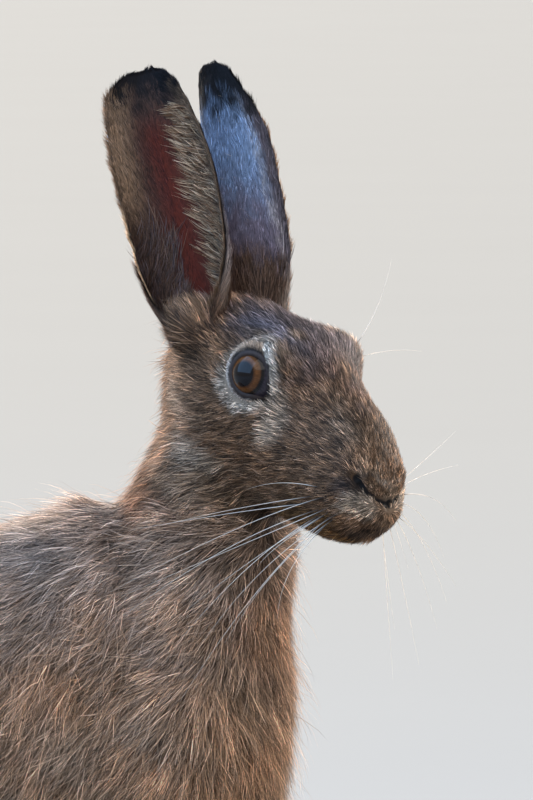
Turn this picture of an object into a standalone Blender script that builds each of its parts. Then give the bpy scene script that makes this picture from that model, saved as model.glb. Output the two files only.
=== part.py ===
"""A brown hare at life size, sitting up on its haunches with its head turned to its right.

Metres, +X to the hare's front, +Y to its left, +Z up, and the floor at z = 0. The flesh is modelled
whole, out to the tips of the coat, from tubes that are fused and smoothed, and then parted into head,
neck, torso and limbs by thin cuts. Ears, eyes, tail and claws are set against it.
"""

import math

import bmesh
import bpy
import numpy as np
from mathutils import Matrix, Vector
from mathutils.bvhtree import BVHTree

MM = 0.001
SEAM = 0.3 * MM
VOXEL = 2.4 * MM
SMOOTHING_ROUNDS = 5
HEAD_TRIANGLES = 2000
BODY_TRIANGLES = 2700
CUT_MARGIN = 6 * MM
SLIVER = 0.004 * MM

# The head is drawn in its own frame: its back near x = 0, its nose at x = 120 mm, its left at +Y.
HEAD_PLACE = Vector((35.5, 4, 336)) * MM
HEAD_TURN_DEG = 43
HEAD_PITCH_DEG = 24
HEAD_ROLL_DEG = 3

EYE_RADIUS = 11 * MM
EYE_CENTRE = Vector((52.5, 18.3, 15)) * MM
EYE_AXIS = Vector((0.22, 0.96, 0.14)).normalized()
LID_THICKNESS = 1.3 * MM
LID_HALF_LENGTH = 7.8 * MM
LID_HALF_HEIGHT = 7.8 * MM
EYE_CORNER_REACH = 2.8 * MM

EAR_SEAT = Vector((12.5, 17, 18.5)) * MM
EAR_TUBE_RADIUS = 11.5 * MM
# The left ear, side 1, and the right one: each leans back and out, and its mouth is turned forward
# from straight out to the side.
EAR_LENGTH = {1: 100.5 * MM, -1: 103 * MM}
EAR_BACKWARD_LEAN_DEG = {1: 30.5, -1: 37}
EAR_OUTWARD_LEAN_DEG = {1: 3.5, -1: 1.5}
EAR_MOUTH_FORWARD_DEG = {1: 0, -1: 28}
EAR_WALL = 2.2 * MM

FORE_FOOT_Y = 27 * MM
HIND_FOOT_Y = 57 * MM
FORE_TOES = 4
HIND_TOES = 4

COLOURS = {
    "coat": ((0.17, 0.115, 0.078, 1), 0.9),
    "eye": ((0.09, 0.035, 0.012, 1), 0.08),
    "claw": ((0.05, 0.038, 0.03, 1), 0.45),
}


def material(name):
    """A plain finish of the colour that the photograph shows."""
    colour, roughness = COLOURS[name]
    made = bpy.data.materials.new(name)
    made.use_nodes = True
    shader = made.node_tree.nodes["Principled BSDF"]
    shader.inputs["Base Color"].default_value = colour
    shader.inputs["Roughness"].default_value = roughness
    shader.inputs["Metallic"].default_value = 0
    made.diffuse_color = colour
    return made


def clear_scene():
    for thing in list(bpy.data.objects):
        bpy.data.objects.remove(thing, do_unlink=True)


# Helpers that make, fuse, cut and part closed meshes


def new_object(name, points, faces):
    """A closed mesh object with its faces pointing out."""
    mesh = bpy.data.meshes.new(name)
    mesh.from_pydata([tuple(p) for p in points], [], [tuple(int(i) for i in f) for f in faces])
    made = bpy.data.objects.new(name, mesh)
    bpy.context.scene.collection.objects.link(made)
    edit(made, lambda bm: bmesh.ops.recalc_face_normals(bm, faces=bm.faces))
    return made


def edit(thing, change):
    """Runs a bmesh change on an object's mesh."""
    bm = bmesh.new()
    bm.from_mesh(thing.data)
    change(bm)
    bm.to_mesh(thing.data)
    bm.free()
    thing.data.update()


def drop_slivers(bm):
    """Removes edges of no length and walls of no thickness, which are two faces on the same corners."""
    bmesh.ops.dissolve_degenerate(bm, edges=bm.edges, dist=SLIVER)
    seen = {}
    for face in bm.faces:
        seen.setdefault(frozenset(face.verts), []).append(face)
    folded = [face for faces in seen.values() if len(faces) > 1 for face in faces]
    bmesh.ops.delete(bm, geom=folded, context="FACES")


def apply_modifiers(thing):
    """Turns the object's modifiers into its mesh, and mends the slivers that they leave."""
    graph = bpy.context.evaluated_depsgraph_get()
    mesh = bpy.data.meshes.new_from_object(thing.evaluated_get(graph))
    thing.modifiers.clear()
    thing.data = mesh
    edit(thing, drop_slivers)


def boolean(target, cutter, operation, heal=False):
    """Joins, cuts or intersects target with cutter, and removes the cutter.

    With heal, a cutter may overlap itself.
    """
    modifier = target.modifiers.new(operation.lower(), "BOOLEAN")
    modifier.operation = operation
    modifier.object = cutter
    modifier.solver = "EXACT"
    modifier.use_self = heal
    apply_modifiers(target)
    bpy.data.objects.remove(cutter, do_unlink=True)


def copy_of(thing, name):
    made = thing.copy()
    made.data = thing.data.copy()
    made.name = name
    bpy.context.scene.collection.objects.link(made)
    return made


def vertices_of(thing):
    points = np.empty(len(thing.data.vertices) * 3)
    thing.data.vertices.foreach_get("co", points)
    return points.reshape(-1, 3)


def normals_of(thing):
    normals = np.empty(len(thing.data.vertices) * 3)
    thing.data.vertices.foreach_get("normal", normals)
    return normals.reshape(-1, 3)


def move_vertices(thing, points):
    thing.data.vertices.foreach_set("co", points.astype(np.float32).ravel())
    thing.data.update()


def keep_largest(thing):
    """Drops every closed surface but the largest."""

    def change(bm):
        left = set(bm.verts)
        groups = []
        while left:
            seed = left.pop()
            group = {seed}
            front = [seed]
            while front:
                vertex = front.pop()
                for edge in vertex.link_edges:
                    other = edge.other_vert(vertex)
                    if other in left:
                        left.discard(other)
                        group.add(other)
                        front.append(other)
            groups.append(group)
        groups.sort(key=len)
        for group in groups[:-1]:
            bmesh.ops.delete(bm, geom=list(group), context="VERTS")

    edit(thing, change)


def trim(thing, point, normal):
    """Removes what lies beyond the plane, on the side that normal points to, and closes the cut."""

    def change(bm):
        everything = bm.verts[:] + bm.edges[:] + bm.faces[:]
        bmesh.ops.bisect_plane(bm, geom=everything, plane_co=point, plane_no=normal, clear_outer=True)
        rim = [edge for edge in bm.edges if edge.is_boundary]
        bmesh.ops.holes_fill(bm, edges=rim)
        bmesh.ops.triangulate(bm, faces=bm.faces)

    edit(thing, change)
    keep_largest(thing)


def decimate(thing, triangles):
    """Thins the mesh to about that many triangles."""
    edit(thing, lambda bm: bmesh.ops.triangulate(bm, faces=bm.faces))
    modifier = thing.modifiers.new("decimate", "DECIMATE")
    modifier.ratio = triangles / len(thing.data.polygons)
    apply_modifiers(thing)
    keep_largest(thing)


def swollen(thing, name, by):
    """A copy whose surface stands further out, for cutting a neighbour clear."""
    made = copy_of(thing, name)
    move_vertices(made, vertices_of(made) + by * normals_of(made))
    return made


def set_against(piece, host):
    """Cuts the piece where it meets its host, with a seam's gap between their faces."""
    boolean(piece, swollen(host, "host", SEAM), "DIFFERENCE")
    keep_largest(piece)


# Shapes along a spine


def catmull_rom(rows, count):
    """Rows of numbers resampled along a smooth curve that passes through each of them."""
    rows = np.array(rows, float)
    padded = np.vstack([2 * rows[0] - rows[1], rows, 2 * rows[-1] - rows[-2]])
    at = np.linspace(0, len(rows) - 1, count)
    i = np.minimum(at.astype(int), len(rows) - 2)
    t = (at - i)[:, None]
    a, b, c, d = (padded[i + k] for k in range(4))
    return 0.5 * (2 * b + (c - a) * t + (2 * a - 5 * b + 4 * c - d) * t**2 + (3 * b - a - 3 * c + d) * t**3)


def unit(rows):
    return rows / np.maximum(np.linalg.norm(rows, axis=-1, keepdims=True), 1e-12)


def loft(name, stations, above, sides=28, rings=40):
    """A closed tube along a spine. A station is the spine's point, half width, height above the spine,
    depth below it and squareness, in millimetres; above is the way that height is measured.
    """
    rows = catmull_rom(stations, rings)
    centre, half_width, high, low = rows[:, :3] * MM, rows[:, 3] * MM, rows[:, 4] * MM, rows[:, 5] * MM
    power = 2 / rows[:, 6]
    along = unit(np.gradient(centre, axis=0))
    up = unit(above - (along @ np.array(above, float))[:, None] * along)
    side = np.cross(up, along)
    angle = np.linspace(0, 2 * math.pi, sides, endpoint=False)
    across = np.sign(np.cos(angle)) * np.abs(np.cos(angle)) ** power[:, None]
    upward = np.sign(np.sin(angle)) * np.abs(np.sin(angle)) ** power[:, None]
    height = np.where(np.sin(angle) > 0, high[:, None], low[:, None])
    ring = (
        centre[:, None]
        + side[:, None] * (across * half_width[:, None])[..., None]
        + up[:, None] * (upward * height)[..., None]
    )
    points = np.vstack([ring.reshape(-1, 3), centre[0], centre[-1]])
    faces = []
    for i in range(rings - 1):
        for j in range(sides):
            k = (j + 1) % sides
            faces.append((i * sides + j, i * sides + k, (i + 1) * sides + k, (i + 1) * sides + j))
    first, last = rings * sides, rings * sides + 1
    for j in range(sides):
        k = (j + 1) % sides
        faces.append((first, k, j))
        faces.append((last, (rings - 1) * sides + j, (rings - 1) * sides + k))
    return new_object(name, points, faces)


def mirrored(stations, side):
    """The stations of a left limb, or of the right one where side is -1."""
    rows = np.array(stations, float)
    rows[:, 1] *= side
    return rows


def block(name, low, high, grow):
    """A cutting box between two corners in millimetres, larger by grow on every side."""
    low, high = Vector(low) * MM, Vector(high) * MM
    middle = (low + high) / 2
    half = (high - low) / 2 + Vector((grow, grow, grow))
    corners = [(x, y, z) for x in (-1, 1) for y in (-1, 1) for z in (-1, 1)]
    points = [middle + Vector((x * half.x, y * half.y, z * half.z)) for x, y, z in corners]
    faces = ((0, 1, 3, 2), (4, 6, 7, 5), (0, 4, 5, 1), (2, 3, 7, 6), (0, 2, 6, 4), (1, 5, 7, 3))
    return new_object(name, points, faces)


def head_frame():
    turn = Matrix.Rotation(math.radians(-HEAD_TURN_DEG), 4, "Z")
    pitch = Matrix.Rotation(math.radians(HEAD_PITCH_DEG), 4, "Y")
    roll = Matrix.Rotation(math.radians(HEAD_ROLL_DEG), 4, "X")
    return Matrix.Translation(HEAD_PLACE) @ turn @ pitch @ roll


HEAD = head_frame()


def sided(vector, side):
    """A left-hand point or direction in the head's frame, or its mirror image where side is -1."""
    return Vector((vector.x, vector.y * side, vector.z))


# Trunk, neck and limbs: spine point, half width, above, below, squareness

TRUNK = (
    (-292, 0, 62, 6, 6, 6, 2),
    (-284, 0, 66, 34, 34, 32, 2),
    (-262, 0, 84, 56, 58, 54, 2),
    (-220, 0, 110, 72, 74, 74, 2.1),
    (-160, 0, 134, 76, 80, 80, 2.1),
    (-100, 0, 152, 70, 80, 74, 2.1),
    (-45, 0, 172, 62, 85, 72, 2.1),
    (0, 0, 190, 55, 84, 68, 2.1),
    (30, 0, 200, 44, 79, 58, 2),
    (54, 0, 206, 24, 34, 36, 2),
    (64, 0, 208, 6, 6, 6, 2),
)

# The neck and breast, from the brisket up into the skull.
NECK = (
    (18, 0, 112, 8, 10, 10, 2),
    (22, 0, 122, 32, 30, 30, 2),
    (28, 0, 145, 44, 42, 42, 2),
    (32, 0, 180, 50, 44, 46, 2.1),
    (33, 0, 220, 49, 44, 50, 2.1),
    (38, 0, 250, 43, 40, 40, 2),
    (43, 0, 275, 37, 35, 34, 2),
    (45, 1, 298, 32, 30, 26, 2),
    (45, 2, 318, 29, 26, 21, 2),
    (44, 3, 332, 18, 14, 14, 2),
)

UPPER_ARM = (
    (42, 30, 214, 8, 8, 8, 2),
    (38, 33, 204, 20, 26, 24, 2),
    (26, 37, 180, 22, 32, 30, 2),
    (8, 38, 152, 19, 25, 25, 2),
    (-2, 36, 134, 15, 19, 19, 2),
    (2, 34, 120, 12, 15, 15, 2),
)

FOREARM = (
    (-4, 35, 142, 10, 12, 12, 2),
    (2, 34, 124, 15, 18, 17, 2),
    (12, 31, 96, 13, 15, 14, 2),
    (20, 28.5, 66, 11, 12.5, 12, 2),
    (25, 27, 40, 11, 12, 12, 2),
    (29, 27, 20, 12, 12, 12, 2),
    (32, 27, 10, 9, 8, 8, 2),
)

# Paws stand into the floor, which then cuts their soles flat.
FORE_PAW = (
    (14, 27, 15, 8, 7, 15, 2.2),
    (24, 27, 14, 13, 13, 18, 2.3),
    (42, 27, 11, 14.5, 11, 14, 2.3),
    (54, 27, 9, 14, 8.5, 12, 2.3),
    (60, 27, 7, 10, 5, 8, 2.2),
)

THIGH = (
    (-262, 34, 122, 12, 16, 16, 2),
    (-240, 42, 122, 30, 46, 44, 2),
    (-205, 50, 114, 34, 58, 54, 2),
    (-165, 56, 100, 30, 50, 44, 2),
    (-132, 60, 84, 23, 34, 32, 2),
    (-112, 61, 74, 14, 18, 20, 2),
    (-104, 61, 70, 5, 6, 6, 2),
)

SHANK = (
    (-104, 61, 76, 6, 8, 8, 2),
    (-116, 61, 70, 19, 20, 24, 2),
    (-155, 60, 58, 20, 24, 26, 2),
    (-200, 58, 46, 19, 22, 24, 2),
    (-240, 57, 33, 15, 18, 18, 2),
    (-258, 57, 26, 8, 10, 9, 2),
)

HIND_PAW = (
    (-270, 57, 26, 4, 4, 6, 2),
    (-264, 57, 22, 10, 12, 16, 2.1),
    (-250, 57, 18, 13, 15, 22, 2.2),
    (-220, 57, 13, 14, 13, 18, 2.3),
    (-175, 58, 12, 15, 12, 15, 2.3),
    (-135, 59, 11, 17, 11, 14, 2.3),
    (-118, 59, 9, 16, 9, 12, 2.3),
    (-110, 59, 7, 10, 5, 8, 2.2),
)

TAIL = (
    (-262, 0, 96, 6, 6, 6, 2),
    (-274, 0, 92, 16, 15, 15, 2),
    (-292, 0, 80, 21, 18, 17, 2),
    (-304, 0, 62, 21, 18, 17, 2),
    (-309, 0, 44, 17, 15, 14, 2),
    (-310, 0, 30, 10, 9, 9, 2),
    (-310, 0, 24, 1.5, 1.5, 1.5, 2),
)

# The head in its own frame: x, 0, height of the widest line, half width, above, below, squareness
SKULL = (
    (-8, 0, 1, 4, 4, 4, 2),
    (-5, 0, 0, 9, 16, 17, 2),
    (4, 0, -1, 17, 28.5, 33, 2),
    (18, 0, -2, 24.5, 35, 40, 2.05),
    (36, 0, -3, 29, 37.5, 41.5, 2.1),
    (54, 0, -4, 28.5, 39.5, 40, 2.1),
    (70, 0, -7, 25.5, 36.5, 36, 2.05),
    (86, 0, -9, 22, 31.5, 32.5, 2.05),
    (98, 0, -10, 20, 28.5, 29, 2.1),
    (108, 0, -10, 18.3, 22.5, 24.5, 2.2),
    (114, 0, -9, 15, 17, 19.5, 2.3),
    (118, 0, -8, 10.5, 11, 13, 2.3),
    (119.6, 0, -7, 5, 5.5, 6.5, 2.1),
    (120, 0, -7, 1.5, 1.5, 2, 2),
)

# Soft swellings and hollows of the face: centre, reach and height in millimetres, on both sides
SWELLINGS = (
    ("brow", (59, 22.5, 27), 10.5, 7.4),
    ("brow front", (66, 22, 22), 8, 2.4),
    ("jowl", (44, 22, -33), 15, 5.0),
    ("cheek", (34, 27, -20), 17, 2.0),
    ("whisker pad", (106, 16, -15), 8, 1.6),
    ("nostril wing", (115, 8.5, -3), 4.5, 1.0),
    ("hollow before the eye", (75, 23, 6), 9, -1.8),
    ("hollow under the cheek bone", (62, 27, -12), 9, -1.0),
    ("hollow behind the lips", (93, 16, -34), 6, -1.2),
)

# Furrows of the face: the path on the left side in millimetres, width and depth
MOUTH = ((99, 16, -31.5), (104, 14.5, -31), (110, 11, -28.5), (114.5, 6, -24.5), (116, 0, -21.5))
LIP_CLEFT = ((119.5, 0, -11.5), (118.5, 0, -15), (117, 0, -19), (115.5, 0, -23))
NOSTRIL = ((119, 2.2, -10.8), (117, 6, -9.2), (114, 9.6, -6.4), (110.5, 12.6, -2.6))


def toe_stations(root, tip, radius):
    """A toe from its knuckle to its tip, both in millimetres."""
    root, tip = np.array(root, float), np.array(tip, float)
    shares = ((0, 0.5), (0.15, 0.95), (0.6, 1.0), (0.88, 0.8), (1.0, 0.15))
    return [(*(root + (tip - root) * share), *[radius * size] * 3, 2) for share, size in shares]


def toes_of(side, front):
    """Where each toe starts and ends on one paw: the two middle ones reach furthest."""
    count = FORE_TOES if front else HIND_TOES
    spread = 6.6 if front else 7.6
    centre_y = (FORE_FOOT_Y if front else HIND_FOOT_Y) / MM + (0 if front else 2)
    knuckle_x, tip_x = (46, 68) if front else (-128, -100)
    made = []
    for i in range(count):
        off = i - (count - 1) / 2
        back = 3.2 * max(0, abs(off) - 0.5)
        root = (knuckle_x - back, side * (centre_y + spread * off), 8)
        tip = (tip_x - 1.4 * back, side * (centre_y + spread * 1.12 * off), 6)
        made.append((root, tip))
    return made


def limbs(side):
    """Every tube of the two limbs on one side."""
    up, front = (0, 0, 1), (1, 0, 0)
    made = [
        loft("upper_arm", mirrored(UPPER_ARM, side), front),
        loft("forearm", mirrored(FOREARM, side), front),
        loft("fore_paw", mirrored(FORE_PAW, side), up),
        loft("thigh", mirrored(THIGH, side), up),
        loft("shank", mirrored(SHANK, side), up),
        loft("hind_paw", mirrored(HIND_PAW, side), up),
    ]
    for is_front, radius in ((True, 5.2), (False, 6.0)):
        for root, tip in toes_of(side, is_front):
            made.append(loft("toe", toe_stations(root, tip, radius), up, sides=12, rings=12))
    return made


def fused(pieces, name):
    """One smooth skin round every tube, with the floor cut off flat."""
    bm = bmesh.new()
    for piece in pieces:
        bm.from_mesh(piece.data)
        bpy.data.objects.remove(piece, do_unlink=True)
    mesh = bpy.data.meshes.new(name)
    bm.to_mesh(mesh)
    bm.free()
    whole = bpy.data.objects.new(name, mesh)
    bpy.context.scene.collection.objects.link(whole)
    remesh = whole.modifiers.new("fuse", "REMESH")
    remesh.mode = "VOXEL"
    remesh.voxel_size = VOXEL
    smooth = whole.modifiers.new("soften", "SMOOTH")
    smooth.iterations = SMOOTHING_ROUNDS
    apply_modifiers(whole)
    keep_largest(whole)
    return whole


def swell(thing):
    """Raises the face's soft forms: each point moves along its normal by a bell round each centre."""
    points, normals = vertices_of(thing), normals_of(thing)
    local = (points - np.array(HEAD.translation)) @ np.array(HEAD.to_3x3())
    lift = np.zeros(len(points))
    for _, centre, reach, height in SWELLINGS:
        for side in (1, -1):
            away = local / MM - np.array((centre[0], centre[1] * side, centre[2]))
            lift += height * np.exp(-((away**2).sum(1)) / reach**2)
    move_vertices(thing, points + normals * (lift * MM)[:, None])


# Face: lids, eyes, mouth and nostrils


def ball(name, centre, radius, segments, rings):
    """A ball in the head's frame whose poles lie on the eye's axis."""
    mesh = bpy.data.meshes.new(name)
    bm = bmesh.new()
    bmesh.ops.create_uvsphere(bm, u_segments=segments, v_segments=rings, radius=radius)
    bm.to_mesh(mesh)
    bm.free()
    made = bpy.data.objects.new(name, mesh)
    bpy.context.scene.collection.objects.link(made)
    side = 1 if centre.y > 0 else -1
    turn = sided(EYE_AXIS, side).to_track_quat("Z", "Y").to_matrix().to_4x4()
    made.data.transform(HEAD @ Matrix.Translation(centre) @ turn)
    return made


def lid_opening(side, sides=28):
    """A prism with the outline between the lids, with its corner drawn out to the front and down."""
    axis = sided(EYE_AXIS, side)
    forward = (Vector((1, 0, 0)) - axis * axis.x).normalized()
    upward = Vector((0, 0, 1))
    upward = (upward - axis * upward.dot(axis) - forward * upward.dot(forward)).normalized()
    centre = sided(EYE_CENTRE, side)
    corner = math.radians(-28)
    points = []
    for depth in (1.5 * MM, 24 * MM):
        for i in range(sides):
            angle = 2 * math.pi * i / sides
            nearness = math.exp(-((math.remainder(angle - corner, 2 * math.pi) / 0.30) ** 2))
            reach = 1 + EYE_CORNER_REACH / LID_HALF_LENGTH * nearness
            flare = 1 + depth * 6
            points.append(
                HEAD
                @ (
                    centre
                    + axis * depth
                    + forward * (LID_HALF_LENGTH * math.cos(angle) * reach * flare)
                    + upward * (LID_HALF_HEIGHT * math.sin(angle) * reach * flare)
                )
            )
    faces = [tuple(range(sides)), tuple(range(2 * sides - 1, sides - 1, -1))]
    for i in range(sides):
        k = (i + 1) % sides
        faces.append((i, i + sides, k + sides, k))
    return new_object("lid_opening", points, faces)


def furrow(host, skin, path, width, depth, side=1):
    """Cuts a V-shaped furrow along a path, in the head's frame, that is laid onto the skin."""
    steps = catmull_rom(mirrored(path, side), 3 * len(path)) * MM
    found = [skin.find_nearest(HEAD @ Vector(step))[:2] for step in steps]
    spots = np.array([f[0] for f in found])
    spots[1:-1] = (spots[:-2] + 2 * spots[1:-1] + spots[2:]) / 4
    outward = np.array([f[1] for f in found])
    for _ in range(4):
        outward[1:-1] = (outward[:-2] + outward[1:-1] + outward[2:]) / 3
    outward = unit(outward)
    along = unit(np.gradient(spots, axis=0))
    across = unit(np.cross(along, outward))
    ends = np.linspace(-1, 1, len(spots))
    narrow = np.maximum(0.25, 1 - ends**4)[:, None]
    stand = 1.5 * MM
    spread = width / 2 * (1 + stand / depth) * narrow
    ring = np.stack(
        [
            spots + outward * stand + across * spread,
            spots + outward * stand - across * spread,
            spots - outward * depth * narrow,
        ],
        axis=1,
    )
    count = len(spots)
    faces = [(0, 1, 2), (3 * count - 1, 3 * count - 2, 3 * count - 3)]
    for i in range(count - 1):
        for j in range(3):
            k = (j + 1) % 3
            faces.append((3 * i + j, 3 * i + 3 + j, 3 * i + 3 + k, 3 * i + k))
    boolean(host, new_object("furrow", ring.reshape(-1, 3), faces), "DIFFERENCE", heal=True)
    keep_largest(host)


def finish_face(head):
    """Lids round each eye, then the socket, the mouth, the cleft lip and the nostrils."""
    for side in (1, -1):
        centre = sided(EYE_CENTRE, side)
        boolean(head, ball("lids", centre, EYE_RADIUS + LID_THICKNESS + SEAM, 26, 16), "UNION")
    for side in (1, -1):
        centre = sided(EYE_CENTRE, side)
        boolean(head, lid_opening(side), "DIFFERENCE")
        boolean(head, ball("socket", centre, EYE_RADIUS + SEAM, 22, 12), "DIFFERENCE")
    skin = BVHTree.FromObject(head, bpy.context.evaluated_depsgraph_get())
    whole_mouth = [*MOUTH, *[(x, -y, z) for x, y, z in reversed(MOUTH[:-1])]]
    furrow(head, skin, whole_mouth, 1.5 * MM, 2.2 * MM)
    furrow(head, skin, LIP_CLEFT, 1.6 * MM, 2.0 * MM)
    for side in (1, -1):
        furrow(head, skin, NOSTRIL, 2.6 * MM, 3.6 * MM, side)


def eye(side):
    name = "eye_left" if side > 0 else "eye_right"
    return ball(name, sided(EYE_CENTRE, side), EYE_RADIUS, 22, 12)


# Ears: a leaf rolled into a tube at its root and opening upwards into a trough

# Share of the length, half width behind and before the spine line, and how tightly each side curls
EAR_LEAF = (
    (0.00, 27, 27, 11.5, 11.5),
    (0.12, 26, 28, 14.5, 15.5),
    (0.25, 25, 29, 18, 20),
    (0.40, 24.5, 28, 21.5, 22),
    (0.55, 24.5, 26, 25, 23),
    (0.70, 24, 23, 28, 21),
    (0.82, 22.5, 17, 28, 18),
    (0.91, 20.5, 11, 28, 18),
    (0.97, 15, 6, 28, 18),
    (1.00, 8, 0.5, 28, 18),
)
# The half before the spine line is a little narrower on the left ear
EAR_FRONT_WIDTH = {1: 0.88, -1: 1.0}
EAR_ROWS = 17
EAR_COLUMNS = 12


def ear_frame(side):
    """Length, mouth and front directions of one ear, in the head's frame."""
    lean = math.radians(EAR_BACKWARD_LEAN_DEG[side])
    out = math.radians(EAR_OUTWARD_LEAN_DEG[side])
    forward = math.radians(EAR_MOUTH_FORWARD_DEG[side])
    along = Vector((-math.sin(lean), math.sin(out), math.cos(lean))).normalized()
    mouth = Vector((math.sin(forward), math.cos(forward), 0.1))
    mouth = (mouth - along * mouth.dot(along)).normalized()
    front = mouth.cross(along)
    front = front if front.x > 0 else -front
    return sided(along, side), sided(mouth, side), sided(front, side)


def ear(side):
    """The rolled leaf: an arc across each row, with a tighter curl before the spine line than behind."""
    along, mouth, front = (np.array(v) for v in ear_frame(side))
    root = np.array(sided(EAR_SEAT, side)) - mouth * EAR_TUBE_RADIUS
    rows = catmull_rom(EAR_LEAF, 60)
    share = np.linspace(0, 1, EAR_ROWS) ** 0.9
    behind, before, loose, tight = (np.interp(share, rows[:, 0], rows[:, k]) * MM for k in range(1, 5))
    before = before * EAR_FRONT_WIDTH[side]
    across = np.linspace(-1, 1, EAR_COLUMNS)
    reach = np.where(across < 0, across * behind[:, None], across * before[:, None])
    curl = np.where(across < 0, loose[:, None], tight[:, None])
    angle = reach / curl
    spine = root + np.outer(share * EAR_LENGTH[side], along)
    wall = EAR_WALL * (1 - 0.45 * np.abs(across) ** 3) * (1.15 - 0.4 * share)[:, None]
    inner, outer = (
        spine[:, None]
        + mouth * (curl - radius * np.cos(angle))[..., None]
        + front * (radius * np.sin(angle))[..., None]
        for radius in (curl, curl + wall)
    )
    points = [HEAD @ Vector(p) for p in np.stack([inner, outer]).reshape(-1, 3)]
    per_face = EAR_ROWS * EAR_COLUMNS
    faces = []
    for i in range(EAR_ROWS - 1):
        for j in range(EAR_COLUMNS - 1):
            a, b = i * EAR_COLUMNS + j, i * EAR_COLUMNS + j + 1
            c, d = b + EAR_COLUMNS, a + EAR_COLUMNS
            faces += [(a, b, c), (a, c, d)]
            faces += [tuple(per_face + n for n in (c, b, a)), tuple(per_face + n for n in (d, c, a))]
    rim = (
        [i * EAR_COLUMNS for i in range(EAR_ROWS)]
        + [(EAR_ROWS - 1) * EAR_COLUMNS + j for j in range(1, EAR_COLUMNS)]
        + [i * EAR_COLUMNS + EAR_COLUMNS - 1 for i in range(EAR_ROWS - 2, -1, -1)]
        + list(range(EAR_COLUMNS - 2, 0, -1))
    )
    for a, b in zip(rim, rim[1:] + rim[:1]):
        faces += [(a, b, per_face + b), (a, per_face + b, per_face + a)]
    return new_object("ear_left" if side > 0 else "ear_right", points, faces)


def ear_root(side):
    """The fleshy root that the rolled leaf stands on, as a tube in the head's frame."""
    along, _, front = ear_frame(side)
    root = sided(EAR_SEAT, side)
    steps = (-16, -10, -3, 3, 7, 10, 12)
    sizes = (8, 12.5, 15, 15, 12.5, 8, 2)
    ends = [root + along * step * MM for step in steps]
    stations = [(*(HEAD @ end / MM), size, size, size, 2) for end, size in zip(ends, sizes)]
    return loft("ear_root", stations, tuple(HEAD.to_3x3() @ front), sides=14, rings=9)


# Claws


def claw(name, base, direction, length, radius, sides=6, rings=4):
    """A curved cone that starts inside the toe and bends down to its point."""
    base, direction = Vector(base), Vector(direction).normalized()
    drop = Vector((0, 0, -1))
    stations = []
    for i in range(rings):
        t = i / (rings - 1)
        spot = base + direction * (length * t) + drop * (0.16 * length * t * t)
        size = radius * (1 - t) ** 0.7 + 0.25
        stations.append((*spot, size * 0.8, size, size, 2))
    return loft(name, stations, (0, 0, 1), sides=sides, rings=rings)


def claws_of(paw, side, front):
    """The claws of one paw, each set against it, with the dew claw on a fore paw's inner side."""
    where = "fore" if front else "hind"
    word = "left" if side > 0 else "right"
    length, radius = (11, 1.7) if front else (13, 2.0)
    made = []
    for i, (root, tip) in enumerate(toes_of(side, front)):
        root, tip = Vector(root), Vector(tip)
        ahead = (tip - root).normalized()
        base = tip - ahead * 5 + Vector((0, 0, 0.6))
        name = f"claw_{where}_{word}_{i + 1}"
        made.append(claw(name, base, ahead, length, radius))
    if front:
        base = (38, side * (FORE_FOOT_Y / MM - 10.5), 13)
        made.append(claw(f"claw_dew_{word}", base, (0.75, -0.62 * side, -0.25), 9, 1.3))
    for piece in made:
        set_against(piece, paw)
    return made


# Parting the flesh

HEAD_CUT_POINT = Vector((6, 0, -14)) * MM
HEAD_CUT_NORMAL = Vector((0.80, 0, 0.60))
NECK_CUT_POINT = Vector((40, 0, 236)) * MM
NECK_CUT_NORMAL = Vector((0.62, 0, 0.78))

# Blocks that hold each limb of the left side: low corner and high corner
LIMB_BLOCKS = {
    "upper_arm": ((-48, 31, 122), (76, 90, 226)),
    "forearm": ((-60, 3, 33), (90, 90, 121.7)),
    "forefoot": ((-60, 3, -10), (110, 90, 32.7)),
    "thigh": ((-300, 35, 62), (-84, 120, 196)),
    "shank": ((-300, 22, 30.3), (-84, 120, 61.7)),
    "hindfoot": ((-300, 22, -10), (-70, 120, 30)),
}


def limb_block(name, side, grow):
    """The block that holds one limb, or its mirror image where side is -1."""
    low, high = LIMB_BLOCKS[name]
    if side < 0:
        low, high = (low[0], -high[1], low[2]), (high[0], -low[1], high[2])
    return block("block", low, high, grow)


def part_limbs(body):
    """Parts each limb from the body along its block, and leaves the torso."""
    made = {}
    for side, word in ((1, "left"), (-1, "right")):
        for name in LIMB_BLOCKS:
            limb = copy_of(body, f"{name}_{word}")
            boolean(limb, limb_block(name, side, -SEAM / 4), "INTERSECT")
            keep_largest(limb)
            made[limb.name] = limb
    for side in (1, -1):
        for name in LIMB_BLOCKS:
            boolean(body, limb_block(name, side, SEAM * 3 / 4), "DIFFERENCE")
    keep_largest(body)
    return made


def stand_on_floor(nodes):
    """Moves every node so that the floor's middle under the hare's box is the origin."""
    points = np.vstack([vertices_of(node) for node in nodes])
    low, high = points.min(axis=0), points.max(axis=0)
    middle = np.array(((low[0] + high[0]) / 2, (low[1] + high[1]) / 2, low[2]))
    for node in nodes:
        move_vertices(node, vertices_of(node) - middle)


def finish(node, made):
    """Gives the node its material and smooth shading with crisp edges."""
    node.data.materials.clear()
    node.data.materials.append(made)
    for polygon in node.data.polygons:
        polygon.material_index = 0
    node.data.shade_smooth()
    node.data.set_sharp_from_angle(angle=math.radians(50))


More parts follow.
